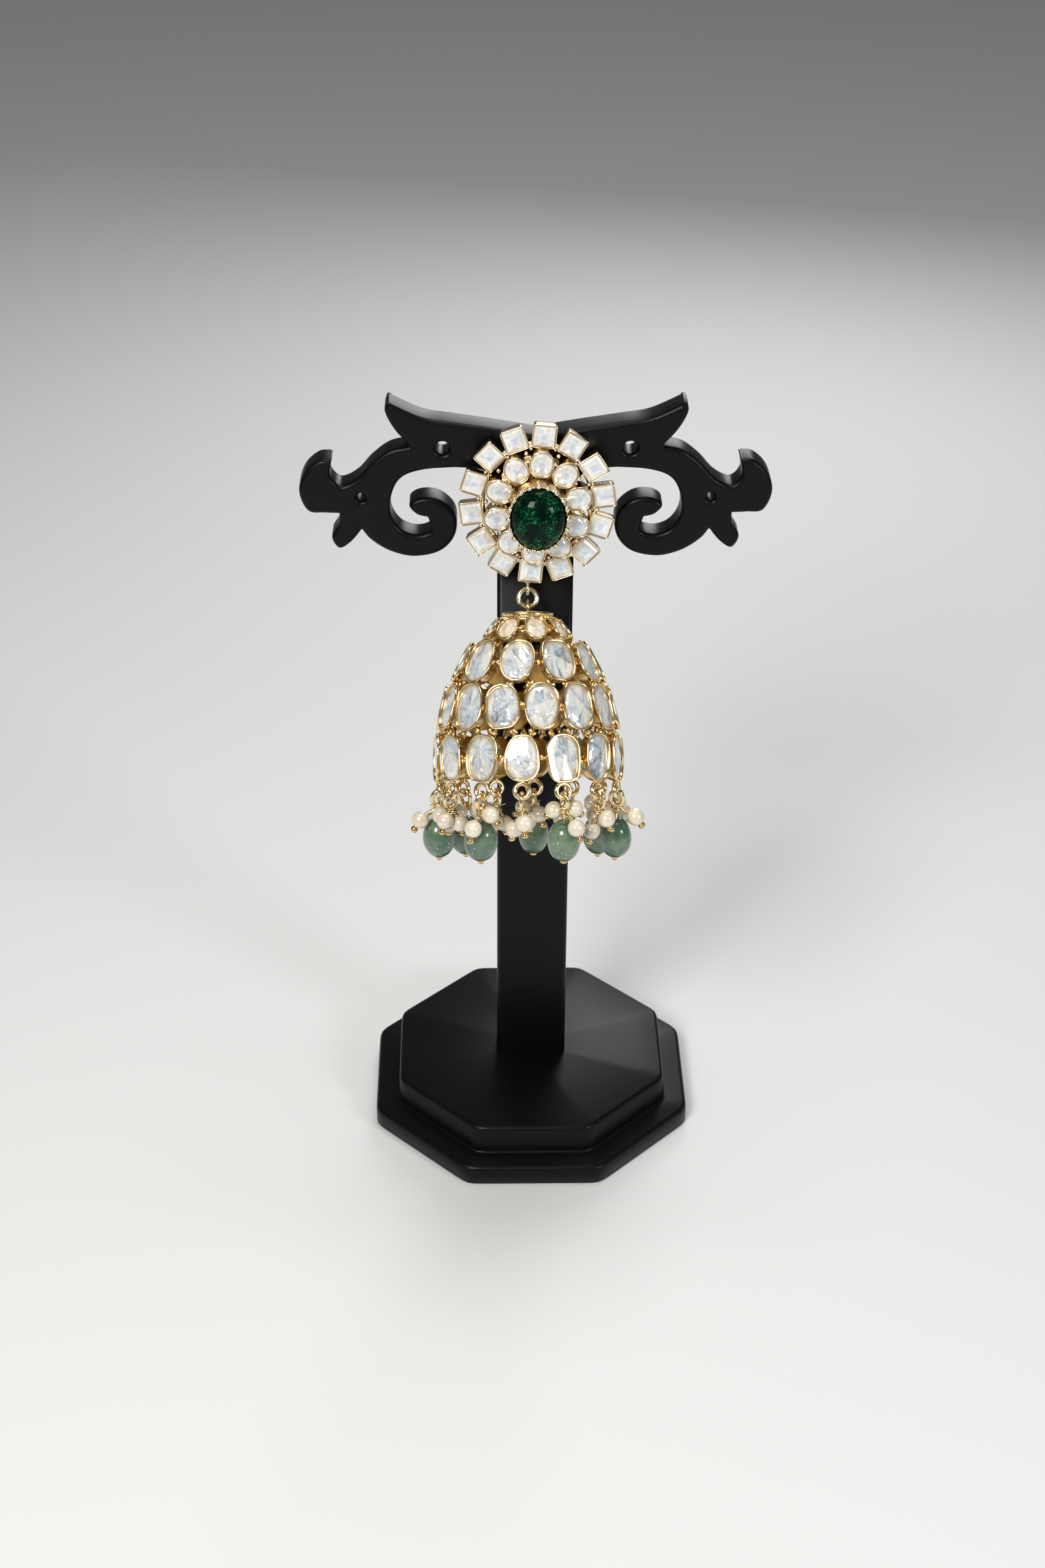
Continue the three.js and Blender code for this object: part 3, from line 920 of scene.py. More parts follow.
@dataclass
class DisplayStand:
    """A two-tier octagonal base, a flat post and a crosspiece of two scroll arms."""

    lower: float = 32.0
    lower_top: float = 4.4
    upper: float = 27.2
    top: float = 10.7
    crispness: int = 70
    post_wide: float = 14.0
    post_deep: float = 6.26
    post_top: float = 130.1
    corner: float = 0.9
    front: float = -3.13
    thick: float = 5.5
    edge: float = 0.8
    stem_foot: float = 130.0
    stem_top: float = 140.4
    holes: tuple[tuple[float, float, float], ...] = ((16.8, 147.2, 1.25), (31.6, 137.6, 0.8))
    arm: tuple[tuple[tuple[float, float], ...], ...] = (
        ((0, 149.6), (8, 151.0), (15, 152.1), (20.5, 153.1), (26.5, 156.0)),
        ((26.5, 156.0), (26.9, 154.1), (25.3, 150.8), (22.6, 147.6)),
        ((22.6, 147.6), (26.2, 146.8), (29.4, 144.4), (32.2, 141.3), (35.2, 139.9),
         (37.0, 141.9), (36.6, 144.9)),
        ((36.6, 144.9), (39.0, 144.8), (41.6, 142.4), (42.7, 138.6), (41.2, 134.9),
         (38.2, 134.5), (35.6, 134.4)),
        ((35.6, 134.4), (35.8, 132.2), (37.1, 129.6), (35.8, 127.4), (33.6, 128.7), (31.6, 131.2)),
        ((31.6, 131.2), (30.0, 129.1), (26.6, 126.8), (22.2, 125.7), (17.4, 126.8),
         (14.7, 130.0), (14.6, 134.1), (17.4, 137.0), (20.8, 137.4), (22.9, 136.0), (21.6, 134.2),
         (19.6, 133.6)),
        ((19.6, 133.6), (19.1, 131.0), (21.7, 130.1), (24.6, 131.3), (26.3, 134.5),
         (25.9, 138.6), (24.0, 141.6), (20.0, 143.0), (14.5, 143.4)),
        ((14.5, 143.4), (9.6, 142.8), (7.0, 140.4)),
    )

    def base(self) -> Pile:
        """Two tiers whose edge has radius flat / (sum of cos+^p of the eight headings)^(1/p)."""
        lower, step, upper, top = self.lower, self.lower_top, self.upper, self.top
        levels = [
            (0.0, 0.0), (lower - 0.4, 0.0), (lower, 0.4), (lower, step - 0.8), (lower - 0.25, step - 0.25),
            (lower - 0.8, step), (upper + 0.5, step), (upper + 0.1, step + 0.15), (upper, step + 0.6),
            (upper, top - 0.8), (upper - 0.25, top - 0.25), (upper - 0.8, top), (0.0, top),
        ]
        t = angles(160)
        near = np.maximum(np.cos(t[:, None] - np.arange(8) * TAU / 8), 0.0)
        edge = (near**self.crispness).sum(axis=1) ** (-1 / self.crispness)
        flat, height = np.array(levels).T
        reach = flat[:, None] * edge
        points = np.stack([reach * np.sin(t), reach * np.cos(t), level(height, len(t))], axis=-1)
        pile = Pile()
        pile.grid(points)
        return pile

    def post(self) -> Pile:
        """A rounded rectangle carried straight up, with closed ends."""
        quarter = np.linspace(0, math.pi / 2, 7)
        corners = [(1, 1), (-1, 1), (-1, -1), (1, -1)]
        section = np.concatenate([
            np.stack(
                [
                    sx * (self.post_wide / 2 - self.corner) + self.corner * np.cos(quarter + k * math.pi / 2),
                    sy * (self.post_deep / 2 - self.corner) + self.corner * np.sin(quarter + k * math.pi / 2),
                ],
                axis=1,
            )
            for k, (sx, sy) in enumerate(corners)
        ])
        foot, head = self.top - 0.4, self.post_top - 0.3
        heights = [foot, foot, self.top + 0.3, 0.5 * (self.top + self.post_top), head, head]
        shares = [0.0, 1.0, 1.0, 1.0, 1.0, 0.0]
        rows = [
            np.column_stack([share * section, np.full(len(section), z)])
            for share, z in zip(shares, heights)
        ]
        pile = Pile()
        pile.grid(np.stack(rows))
        return pile

    def _run(self, through: Sequence[tuple[float, float]], steps: int = 7) -> Array:
        """A uniform Catmull-Rom curve through the points, without its last point."""
        p = np.array(through, float)
        p = np.concatenate([p[:1], p, p[-1:]])
        a, b, c, d = p[:-3, None], p[1:-2, None], p[2:-1, None], p[3:, None]
        s = (np.arange(steps) / steps)[None, :, None]
        half = 0.5 * (c - a)
        late = 0.5 * (d - b)
        cubic, square = 2 * b - 2 * c + half + late, -3 * b + 3 * c - 2 * half - late
        return (cubic * s**3 + square * s**2 + half * s + b).reshape(-1, 2)

    def _inset(self, loop: Array, amount: float) -> Array:
        """A loop moved to its left by `amount`, along the mean normal of its two edges."""
        ahead = np.roll(loop, -1, axis=0) - loop
        behind = loop - np.roll(loop, 1, axis=0)
        way = sum(edge / np.linalg.norm(edge, axis=1, keepdims=True) for edge in (ahead, behind))
        way = way / np.maximum(np.linalg.norm(way, axis=1, keepdims=True), 0.6)
        return loop + amount * np.stack([-way[:, 1], way[:, 0]], axis=1)

    def crosspiece(self) -> Pile:
        """A flat outline with rounded edges: walls follow a quarter round at the front and back."""
        right = np.concatenate([self._run(run) for run in self.arm])
        stem = self.post_wide / 2
        right = np.concatenate([right, [[stem, self.stem_top], [stem, self.stem_foot]]])
        left = right[1:][::-1] * np.array([-1.0, 1.0])
        outer = np.concatenate([right, left])[::-1]
        spots = [(side * x, z, r) for x, z, r in self.holes for side in (-1, 1)]
        t = angles(28)
        bores = [np.stack([x + r * np.cos(t), z - r * np.sin(t)], axis=1) for x, z, r in spots]
        pile = Pile()
        quarter = np.linspace(0, math.pi / 2, 6)
        inset = self.edge * (1 - np.sin(quarter))
        rise = self.edge * (1 - np.cos(quarter))
        back = self.front + self.thick
        depths = np.concatenate([self.front + rise, (back - rise)[::-1]])
        insets = np.concatenate([inset, inset[::-1]])
        faces: dict[float, list[Array]] = {self.front: [], back: []}
        for loop in [outer, *bores]:
            rows = [self._inset(loop, amount) for amount in insets]
            wall = np.stack([
                np.column_stack([row[:, 0], np.full(len(row), y), row[:, 1]])
                for row, y in zip(rows, depths)
            ])
            pile.grid(wall)
            faces[self.front].append(wall[0])
            faces[back].append(wall[-1])
        for loops in faces.values():
            pile.sheet(loops)
        return pile

    def dress(self) -> list[Piece]:
        """The three pieces of the stand."""
        parts = {
            "stand_base": self.base(),
            "stand_post": self.post(),
            "stand_crosspiece": self.crosspiece(),
        }
        return [
            Piece(f"{node}_skin", pile, BLACK, Body.STAND, Slot.BLACK, (node,))
            for node, pile in parts.items()
        ]


# ------------------------------------------------------------------ the stud


@dataclass
class Stud:
    """Square settings round oval ones, round a tall crown with a dark green stone.

    Each row of `outer_solder` is a share of the squares' oval, a height and a radius; each row
    of `inner_solder` is the half sizes of an oval, a height and a radius.
    """

    centre: tuple[float, float, float] = (0.16, -4.6, 137.9)
    lean: float = 4.5
    squares: tuple[int, float, float, float] = (14, 5.6, 11.9, 12.85)
    square_side: float = 4.4
    square_face: float = 2.6
    petals: tuple[int, float, float, float] = (10, 5.0, 7.45, 8.3)
    petal_size: tuple[float, float, float] = (4.5, 5.0, 4.7)
    crown: tuple[float, float, float] = (5.3, 6.15, 9.6)
    cabochon: tuple[float, float] = (5.0, 5.85)
    girdle: float = 9.55
    dome: float = 12.6
    gallery: tuple[float, float, float] = (9.9, 10.7, 0.6)
    back: tuple[float, float] = (8.0, 8.9)
    beads: int = 20
    bead: float = 0.54
    flute: float = 0.022
    scallop: float = 0.16
    lip: float = 0.2
    eye_radius: float = 1.15
    eye_wire: float = 0.3
    stalk: float = 0.36
    outer_solder: tuple[tuple[float, float, float], ...] = (
        (0.9, 2.0, 0.42), (0.83, 1.9, 0.42), (0.87, 2.4, 0.28),
    )
    inner_solder: tuple[tuple[float, float, float, float], ...] = (
        (9.25, 10.1, 3.0, 0.42), (7.9, 8.8, 3.9, 0.36),
    )

    def matrix(self) -> Array:
        """From the stud's own frame to the object's."""
        return shift(*self.centre) @ turn("X", -self.lean)

    def seats(self, ring: tuple[int, float, float, float], height: float) -> list[Array]:
        """Where each setting of a ring is: its lip's plane, turned to point outward.

        Args:
            ring: count, first bearing, and the half sizes of the oval it stands on.
            height: height of the lip.

        Returns:
            One matrix for each setting.
        """
        count, first, wide, tall = ring
        bearings = first + np.arange(count) * 360 / count
        return [
            self.matrix()
            @ shift(wide * math.sin(math.radians(b)), -height, tall * math.cos(math.radians(b)))
            @ turn("Y", b)
            for b in bearings
        ]

    def square_edge(self) -> Outline:
        """The edge of a square stone, its corners barely rounded."""
        side = self.square_side - 2 * self.lip - 0.12
        return Outline(side, side, 16.0)

    def petal_edge(self) -> Outline:
        """The edge of an oval stone of the inner ring."""
        across, along, _ = self.petal_size
        return Outline(across - 2 * self.lip - 0.12, along - 2 * self.lip - 0.12, 2.1)

    def oval(self, share: float, count: int, height: float) -> Array:
        """Points round the crown at a share of its size."""
        wide, tall, _ = self.crown
        path = ring_path(share * wide, share * tall, count)
        return path + np.array([0.0, -height, 0.0])

    def metal(self) -> Pile:
        """All the gold of the stud."""
        pile = Pile()
        for seat in self.seats(self.squares, self.square_face):
            add_cup(pile, self.square_edge(), self.square_face, self.lip, seat, 48, 0.93)
        for seat in self.seats(self.petals, self.petal_size[2]):
            add_cup(pile, self.petal_edge(), self.petal_size[2], self.lip, seat, 36, 0.84)
        self._crown(pile)
        self._joinery(pile)
        self._eye(pile)
        return pile

    def _crown(self, pile: Pile) -> None:
        """The crown: a wall of radius times 1 + flute cos(beads t), a scalloped rim and its beads."""
        wide, tall, rim = self.crown
        t = angles(160)
        flute = 1 + self.flute * np.cos(self.beads * t)
        # The fourth number of each row is painted shade, heaviest at the back and down inside the crown.
        rows = [
            (0.0, 0.0, 0.0, 0.8), (0.85, 0.0, 0.0, 0.8), (0.9, 3.0, 0.0, 0.6), (0.955, 6.5, 0.4, 0.4),
            (0.985, 8.6, 0.8, 0.5), (1.0, rim - 0.25, 1.0, 0.6), (0.99, rim + 0.05, 1.0, 0.5),
            (0.965, rim + 0.08, 0.6, 0.0), (0.945, rim - 0.1, 0.0, 0.3), (0.93, rim - 1.0, 0.0, 0.8),
            (0.0, rim - 1.0, 0.0, 1.0),
        ]
        share, height, fluted, recess = np.array(rows).T
        swell = 1 + fluted[:, None] * (flute - 1)
        scallop = fluted[:, None] * self.scallop * np.cos(self.beads * t)
        points = oval_levels(share[:, None] * swell, height[:, None] + scallop, wide, tall)
        facts = np.zeros((*points.shape[:2], 4))
        facts[..., 3] = recess[:, None]
        pile.grid(put(points, self.matrix()), facts=facts)
        for at in self.oval(0.99, self.beads, rim + 0.18):
            pile.bead(self.bead, at, self.matrix(), 10, 7)

    def _joinery(self, pile: Pile) -> None:
        """The two gallery wires, the back sheet and the beads of solder between settings."""
        wide, tall, wire = self.gallery
        for share, height, thick in ((1.0, wire, 0.8 * wire), (0.62, 1.2, 0.5)):
            path = ring_path(share * wide, share * tall, 96) + np.array([0.0, -height, 0.0])
            # The gallery wires take painted shade, as they sit behind the settings.
            pile.grid(put(tube(path, thick, 10, (0, 1, 0), True), self.matrix()), True, (0, 0, 0, 0.45))
        rows = [(0.0, 0.0), (0.97, 0.0), (1.0, 0.2), (1.0, 0.6), (0.97, 0.8), (0.0, 0.8)]
        share, height = np.array(rows).T
        back = oval_levels(share[:, None], level(height, 72), *self.back)
        # The back sheet takes painted shade.
        pile.grid(put(back, self.matrix()), facts=(0, 0, 0, 0.6))
        count, first, wide, tall = self.squares
        dice = np.random.default_rng(11)
        for k in range(count):
            b = math.radians(first + (k + 0.5) * 360 / count)
            for reach, height, size in self.outer_solder:
                near = reach + 0.015 * dice.uniform(-1, 1)
                at = (near * wide * math.sin(b), -height, near * tall * math.cos(b))
                pile.bead(size, at, self.matrix())
        count, first, _, _ = self.petals
        for k in range(count):
            b = math.radians(first + (k + 0.5) * 360 / count)
            for across, along, height, size in self.inner_solder:
                pile.bead(size, (across * math.sin(b), -height, along * math.cos(b)), self.matrix())

    def _eye(self, pile: Pile) -> None:
        """The eye under the lowest square, edge-on to the front, and its stalk."""
        hang = joint_place("side_swing")
        path = edge_on(self.eye_radius, self.eye_radius, 28) + hang
        pile.grid(tube(path, self.eye_wire, 10, RIGHT, True), True)
        crest = hang + self.eye_radius * UP
        pile.grid(rod(crest, crest + 1.5 * UP, self.stalk))
        pile.grid(ball(0.55, crest + 0.35 * UP, 12, 9))

    def stones(self) -> tuple[Pile, Pile]:
        """The square stones and the oval ones."""
        square, oval = Pile(), Pile()
        for k, seat in enumerate(self.seats(self.squares, self.square_face)):
            dice = np.random.default_rng(100 + k)
            cut = replace(SQUARE_CUT, uneven=0.04)
            points, facts = cut.grid(self.square_edge(), -0.15, dice, 9, 48)
            square.grid(put(points, seat), facts=facts, smooth=False)
        for k, seat in enumerate(self.seats(self.petals, self.petal_size[2])):
            dice = np.random.default_rng(200 + k)
            points, facts = OVAL_CUT.grid(self.petal_edge(), -0.15, dice, 9, 36)
            oval.grid(put(points, seat), facts=facts, smooth=False)
        return square, oval

    def centre_stone(self) -> Pile:
        """A cabochon: radius cos s, height girdle + rise sin s, on an oval."""
        slope = np.linspace(0, math.pi / 2, 20)
        rise = self.dome - self.girdle
        share = np.concatenate([[0.0, 0.8, 0.97], np.cos(slope[:-1]), [0.0]])
        height = np.concatenate([[8.9, 8.9, 9.2], self.girdle + rise * np.sin(slope)])
        wide, tall = self.cabochon
        points = oval_levels(share[:, None], level(height, 64), 0.95 * wide, 0.95 * tall)
        pile = Pile()
        pile.grid(put(points, self.matrix()))
        return pile

    def pin(self) -> Pile:
        """The ear pin and its push nut, a turned profile with two grooves."""
        profile = [
            (0.0, 0.3), (0.8, 0.3), (0.8, 0.6), (0.45, 0.8), (0.45, 8.4), (1.2, 8.4), (2.4, 8.55), (2.6, 8.8),
            (2.6, 9.2), (2.4, 9.35), (2.6, 9.5), (2.6, 9.9), (2.3, 10.3), (1.4, 10.6), (0.45, 10.6),
            (0.45, 11.6),
            (0.3, 12.1), (0.0, 12.2),
        ]
        pile = Pile()
        pile.grid(put(lathe(profile, 32), self.matrix() @ turn("X", -90)))
        return pile

    def dress(self) -> list[Piece]:
        """The pieces of the stud."""
        square, oval = self.stones()
        frame_node, stone_node = ("stud_frame",), ("centre_stone",)
        return [
            Piece("stud_gold", self.metal(), PALE, Body.STAND, Slot.PALE_GOLD, frame_node),
            Piece("stud_square_stones", square, SQUARE_STONE, Body.STAND, Slot.CLEAR, frame_node),
            Piece("stud_oval_stones", oval, OVAL_STONE, Body.STAND, Slot.CLEAR, frame_node),
            Piece("centre_cabochon", self.centre_stone(), CENTRE, Body.STAND, Slot.EMERALD, stone_node),
            Piece("ear_pin", self.pin(), PALE, Body.STAND, Slot.PALE_GOLD, ("ear_post",)),
        ]


# ------------------------------------------------------------------ the ring


@dataclass
class HangRing:
    """The polished round ring between the stud and the bell."""

    radius: float = 1.65
    wire: float = 0.45

    def dress(self) -> list[Piece]:
        """One torus through both eyes, with the faint step where its ends meet."""
        hang, pivot = joint_place("side_swing"), joint_place("fore_swing")
        down = (pivot - hang) / np.linalg.norm(pivot - hang)
        t = angles(64)[:, None]
        path = 0.5 * (hang + pivot) + self.radius * (np.sin(t) * RIGHT - np.cos(t) * down)
        thick = self.wire * (1 - 0.12 * np.exp(-(((t[:, 0] - 4.4) / 0.05) ** 2)))
        pile = Pile()
        pile.grid(tube(path, thick, 16, np.cross(RIGHT, down), True), True)
        return [Piece("jump_ring", pile, PALE, Body.RING, Slot.PALE_GOLD, ("hang_ring",))]


# ------------------------------------------------------------------ the bell


@dataclass(frozen=True)
class BellRow:
    """One row of settings: how many, and where and how large they are."""

    count: int
    phase: float
    drop: float
    radius: float
    lean: float
    across: float
    along: float
    depth: float
    uneven: float = 1.0

    def seats(self) -> list[Array]:
        """Where each setting's lip is, in the bell's own frame."""
        bearings = self.phase + np.arange(self.count) * 360 / self.count
        return [turn("Z", b) @ shift(0, -self.radius, -self.drop) @ turn("X", -self.lean) for b in bearings]

    def edge(self, index: int, lip: float) -> Outline:
        """An uneven stone edge for one setting, always the same for the same index."""
        dice = np.random.default_rng(int(1000 * self.drop) + index)
        a, b, c, d, e = dice.uniform(-1, 1, 5)
        return Outline(
            (self.across - 2 * lip - 0.1) * (0.98 + 0.035 * a * self.uneven),
            (self.along - 2 * lip - 0.1) * (0.965 + 0.04 * b * self.uneven),
            2.05 + 0.1 * self.uneven,
            1.9 * self.uneven * abs(c),
            math.pi * (c + e),
            0.13 * self.uneven * d,
            10.0 * self.uneven * e,
        )


@dataclass
class Bell:
    """The openwork bell: rows of stones in deep bezels, soldered together, its cap and rim eyes."""

    tilt: float = 31.0
    lip: float = 0.34
    rows: tuple[BellRow, ...] = (
        BellRow(8, 12.0, 4.0, 7.0, 36.0, 4.4, 5.2, 1.7, 0.35),
        BellRow(10, -10.3, 10.05, 12.3, 27.0, 6.6, 8.7, 2.4),
        BellRow(14, 7.9, 18.3, 15.8, 14.0, 6.5, 8.8, 2.4),
        BellRow(14, -5.0, 27.5, 17.1, 1.0, 6.5, 8.9, 2.4),
    )
    plate_radius: float = 4.7
    plate_top: float = 1.15
    plate_thick: float = 0.7
    eye_radius: float = 1.15
    eye_wire: float = 0.3
    rim_drop: float = 33.3
    rim_radius: float = 16.5
    rim_mean: float = 1.28
    rim_wire: float = 0.43

    def matrix(self) -> Array:
        """From the bell's own frame to the object's."""
        return shift(*joint_place("fore_swing")) @ turn("X", -self.tilt)

    def bezels(self) -> Pile:
        """Every bezel of the bell."""
        pile = Pile()
        for row in self.rows:
            for k, seat in enumerate(row.seats()):
                add_cup(pile, row.edge(k, self.lip), row.depth, self.lip, self.matrix() @ seat)
        return pile

    def stones(self, rows: Sequence[BellRow]) -> Pile:
        """The uncut stones of some rows."""
        pile = Pile()
        for row in rows:
            for k, seat in enumerate(row.seats()):
                dice = np.random.default_rng(int(10 * row.drop) + 31 * k)
                cut = replace(UNCUT_CUT, sides=int(dice.integers(5, 9)), phase=dice.uniform(0, TAU))
                points, facts = cut.grid(row.edge(k, self.lip), -0.42, dice, 10, 40)
                pile.grid(put(points, self.matrix() @ seat), facts=facts, smooth=False)
        return pile

    def _hearts(self, row: BellRow, depth: float) -> Array:
        """Each setting's centre line point at a depth behind its lip, in the bell's frame."""
        return np.array([(seat @ np.array([0.0, depth, 0.0, 1.0]))[:3] for seat in row.seats()])

    def solder(self) -> Pile:
        """Bars and beads where settings meet, in each row and between rows."""
        pile = Pile()
        dice = np.random.default_rng(7)
        rings = [(self._hearts(row, 1.2), self._hearts(row, 0.35), row) for row in self.rows]
        for level, (inner, outer, row) in enumerate(rings):
            for k in range(row.count):
                ahead = (k + 1) % row.count
                self._joint(pile, inner[k], inner[ahead], outer[k], outer[ahead], dice)
            if level + 1 == len(rings):
                continue
            below, below_out, _ = rings[level + 1]
            gaps = np.linalg.norm(inner[:, None] - below[None], axis=-1)
            for k, near in enumerate(np.argsort(gaps, axis=1)[:, :2]):
                for n in near:
                    self._joint(pile, inner[k], below[n], outer[k], below_out[n], dice)
        return pile

    def _joint(
        self, pile: Pile, start: Array, end: Array, front: Array, front_end: Array, dice: np.random.Generator
    ) -> None:
        """One joint: a short bar deep between two settings and a few beads near the front.

        Args:
            pile: where it goes.
            start: a point deep in the first setting.
            end: a point deep in the second.
            front: a point near the first setting's lip.
            front_end: a point near the second's.
            dice: seeded numbers that scatter the beads.
        """
        middle, face = 0.5 * (start + end), 0.5 * (front + front_end)
        away = (end - start) / np.linalg.norm(end - start)
        bar = rod(middle - 1.5 * away, middle + 1.5 * away, 0.5, 7)
        # The bar deep between settings takes painted shade.
        pile.grid(put(bar, self.matrix()), facts=(0, 0, 0, 0.6))
        upright = np.cross(away, face - middle)
        upright = upright / np.linalg.norm(upright)
        for _ in range(3):
            spread = upright * dice.uniform(-0.75, 0.75)
            at = face + spread + away * dice.uniform(-0.25, 0.25) + 0.2 * (middle - face)
            pile.bead(dice.uniform(0.3, 0.52), at, self.matrix())

    def cap(self) -> Pile:
        """The cap: a plate with a rolled edge over a flared skirt, two rows of grains and the eye."""
        top, foot = -self.plate_top, -self.plate_top - self.plate_thick
        edge = self.plate_radius
        profile = [
            (0.0, top), (edge - 0.9, top), (edge - 0.5, top + 0.12), (edge - 0.15, top + 0.05),
            (edge, top - 0.2),
            (edge - 0.05, foot + 0.1), (edge - 0.4, foot), (edge + 0.1, foot - 0.2), (edge + 0.5, foot - 0.8),
            (edge - 0.3, foot - 0.9), (edge - 0.7, foot - 0.5), (0.6 * edge, foot - 0.2), (0.0, foot - 0.1),
        ]
        pile = Pile()
        # Faces under the skirt and at the underside's centre take painted shade.
        under = [height < foot - 0.6 or (reach == 0 and height < foot) for reach, height in profile]
        inside = [(0, 0, 0, 0.9 * hidden) for hidden in under]
        pile.grid(put(lathe(profile, 72), self.matrix()), facts=cup_facts(inside, 72))
        grains = ((edge + 0.18, foot - 0.25, 0.3, 36), (edge - 0.75, top + 0.02, 0.17, 44))
        for reach, height, size, count in grains:
            for t in angles(count):
                at = (reach * math.cos(t), reach * math.sin(t), height)
                pile.bead(size, at, self.matrix(), 8, 5)
        path = edge_on(self.eye_radius, self.eye_radius, 32)
        pile.grid(put(tube(path, self.eye_wire, 10, RIGHT, True), self.matrix()), True)
        pile.bead(0.6, (0, 0, top - 0.1), self.matrix(), 12, 7)
        return pile

    def bearings(self) -> Array:
        """The bearing of every eye of the rim, in degrees."""
        last = self.rows[-1]
        return last.phase + np.arange(last.count) * 360 / last.count

    def rim_eyes(self) -> Pile:
        """A thick polished eye under each stone of the last row, with its bead of solder."""
        pile = Pile()
        for b in self.bearings():
            place = self.matrix() @ turn("Z", b) @ shift(0, -self.rim_radius, -self.rim_drop)
            path = ring_path(self.rim_mean, self.rim_mean, 32)
            pile.grid(put(tube(path, self.rim_wire, 12, (0, 1, 0), True), place), True)
            pile.bead(0.55, (0, 0.05, self.rim_mean + 0.2), place, 10, 7)
        return pile

    def dress(self) -> list[Piece]:
        """The pieces of the bell."""
        node = ("bell_frame",)
        crown, others = self.stones(self.rows[:1]), self.stones(self.rows[1:])
        return [
            Piece("bell_bezels", self.bezels(), WARM, Body.BELL, Slot.GOLD, node),
            Piece("bell_crown_stones", crown, PEACH_STONE, Body.BELL, Slot.CLEAR, node),
            Piece("bell_uncut_stones", others, UNCUT_STONE, Body.BELL, Slot.CLEAR, node),
            Piece("bell_solder", self.solder(), WARM, Body.BELL, Slot.GOLD, node),
            Piece("bell_cap", self.cap(), WARM, Body.BELL, Slot.GOLD, node),
            Piece("bell_rim_eyes", self.rim_eyes(), WARM, Body.BELL, Slot.GOLD, node),
        ]


# ------------------------------------------------------------------ the clusters


@dataclass(frozen=True)
class HungPearl:
    """One pearl of a cluster: its bearing from straight outward, its reach and its drop."""

    bearing: float
    reach: float
    drop: float

    def centre(self) -> Array:
        """The pearl's centre, in the cluster's frame."""
        side = math.radians(self.bearing)
        return np.array([self.reach * math.sin(side), -self.reach * math.cos(side), -self.drop])


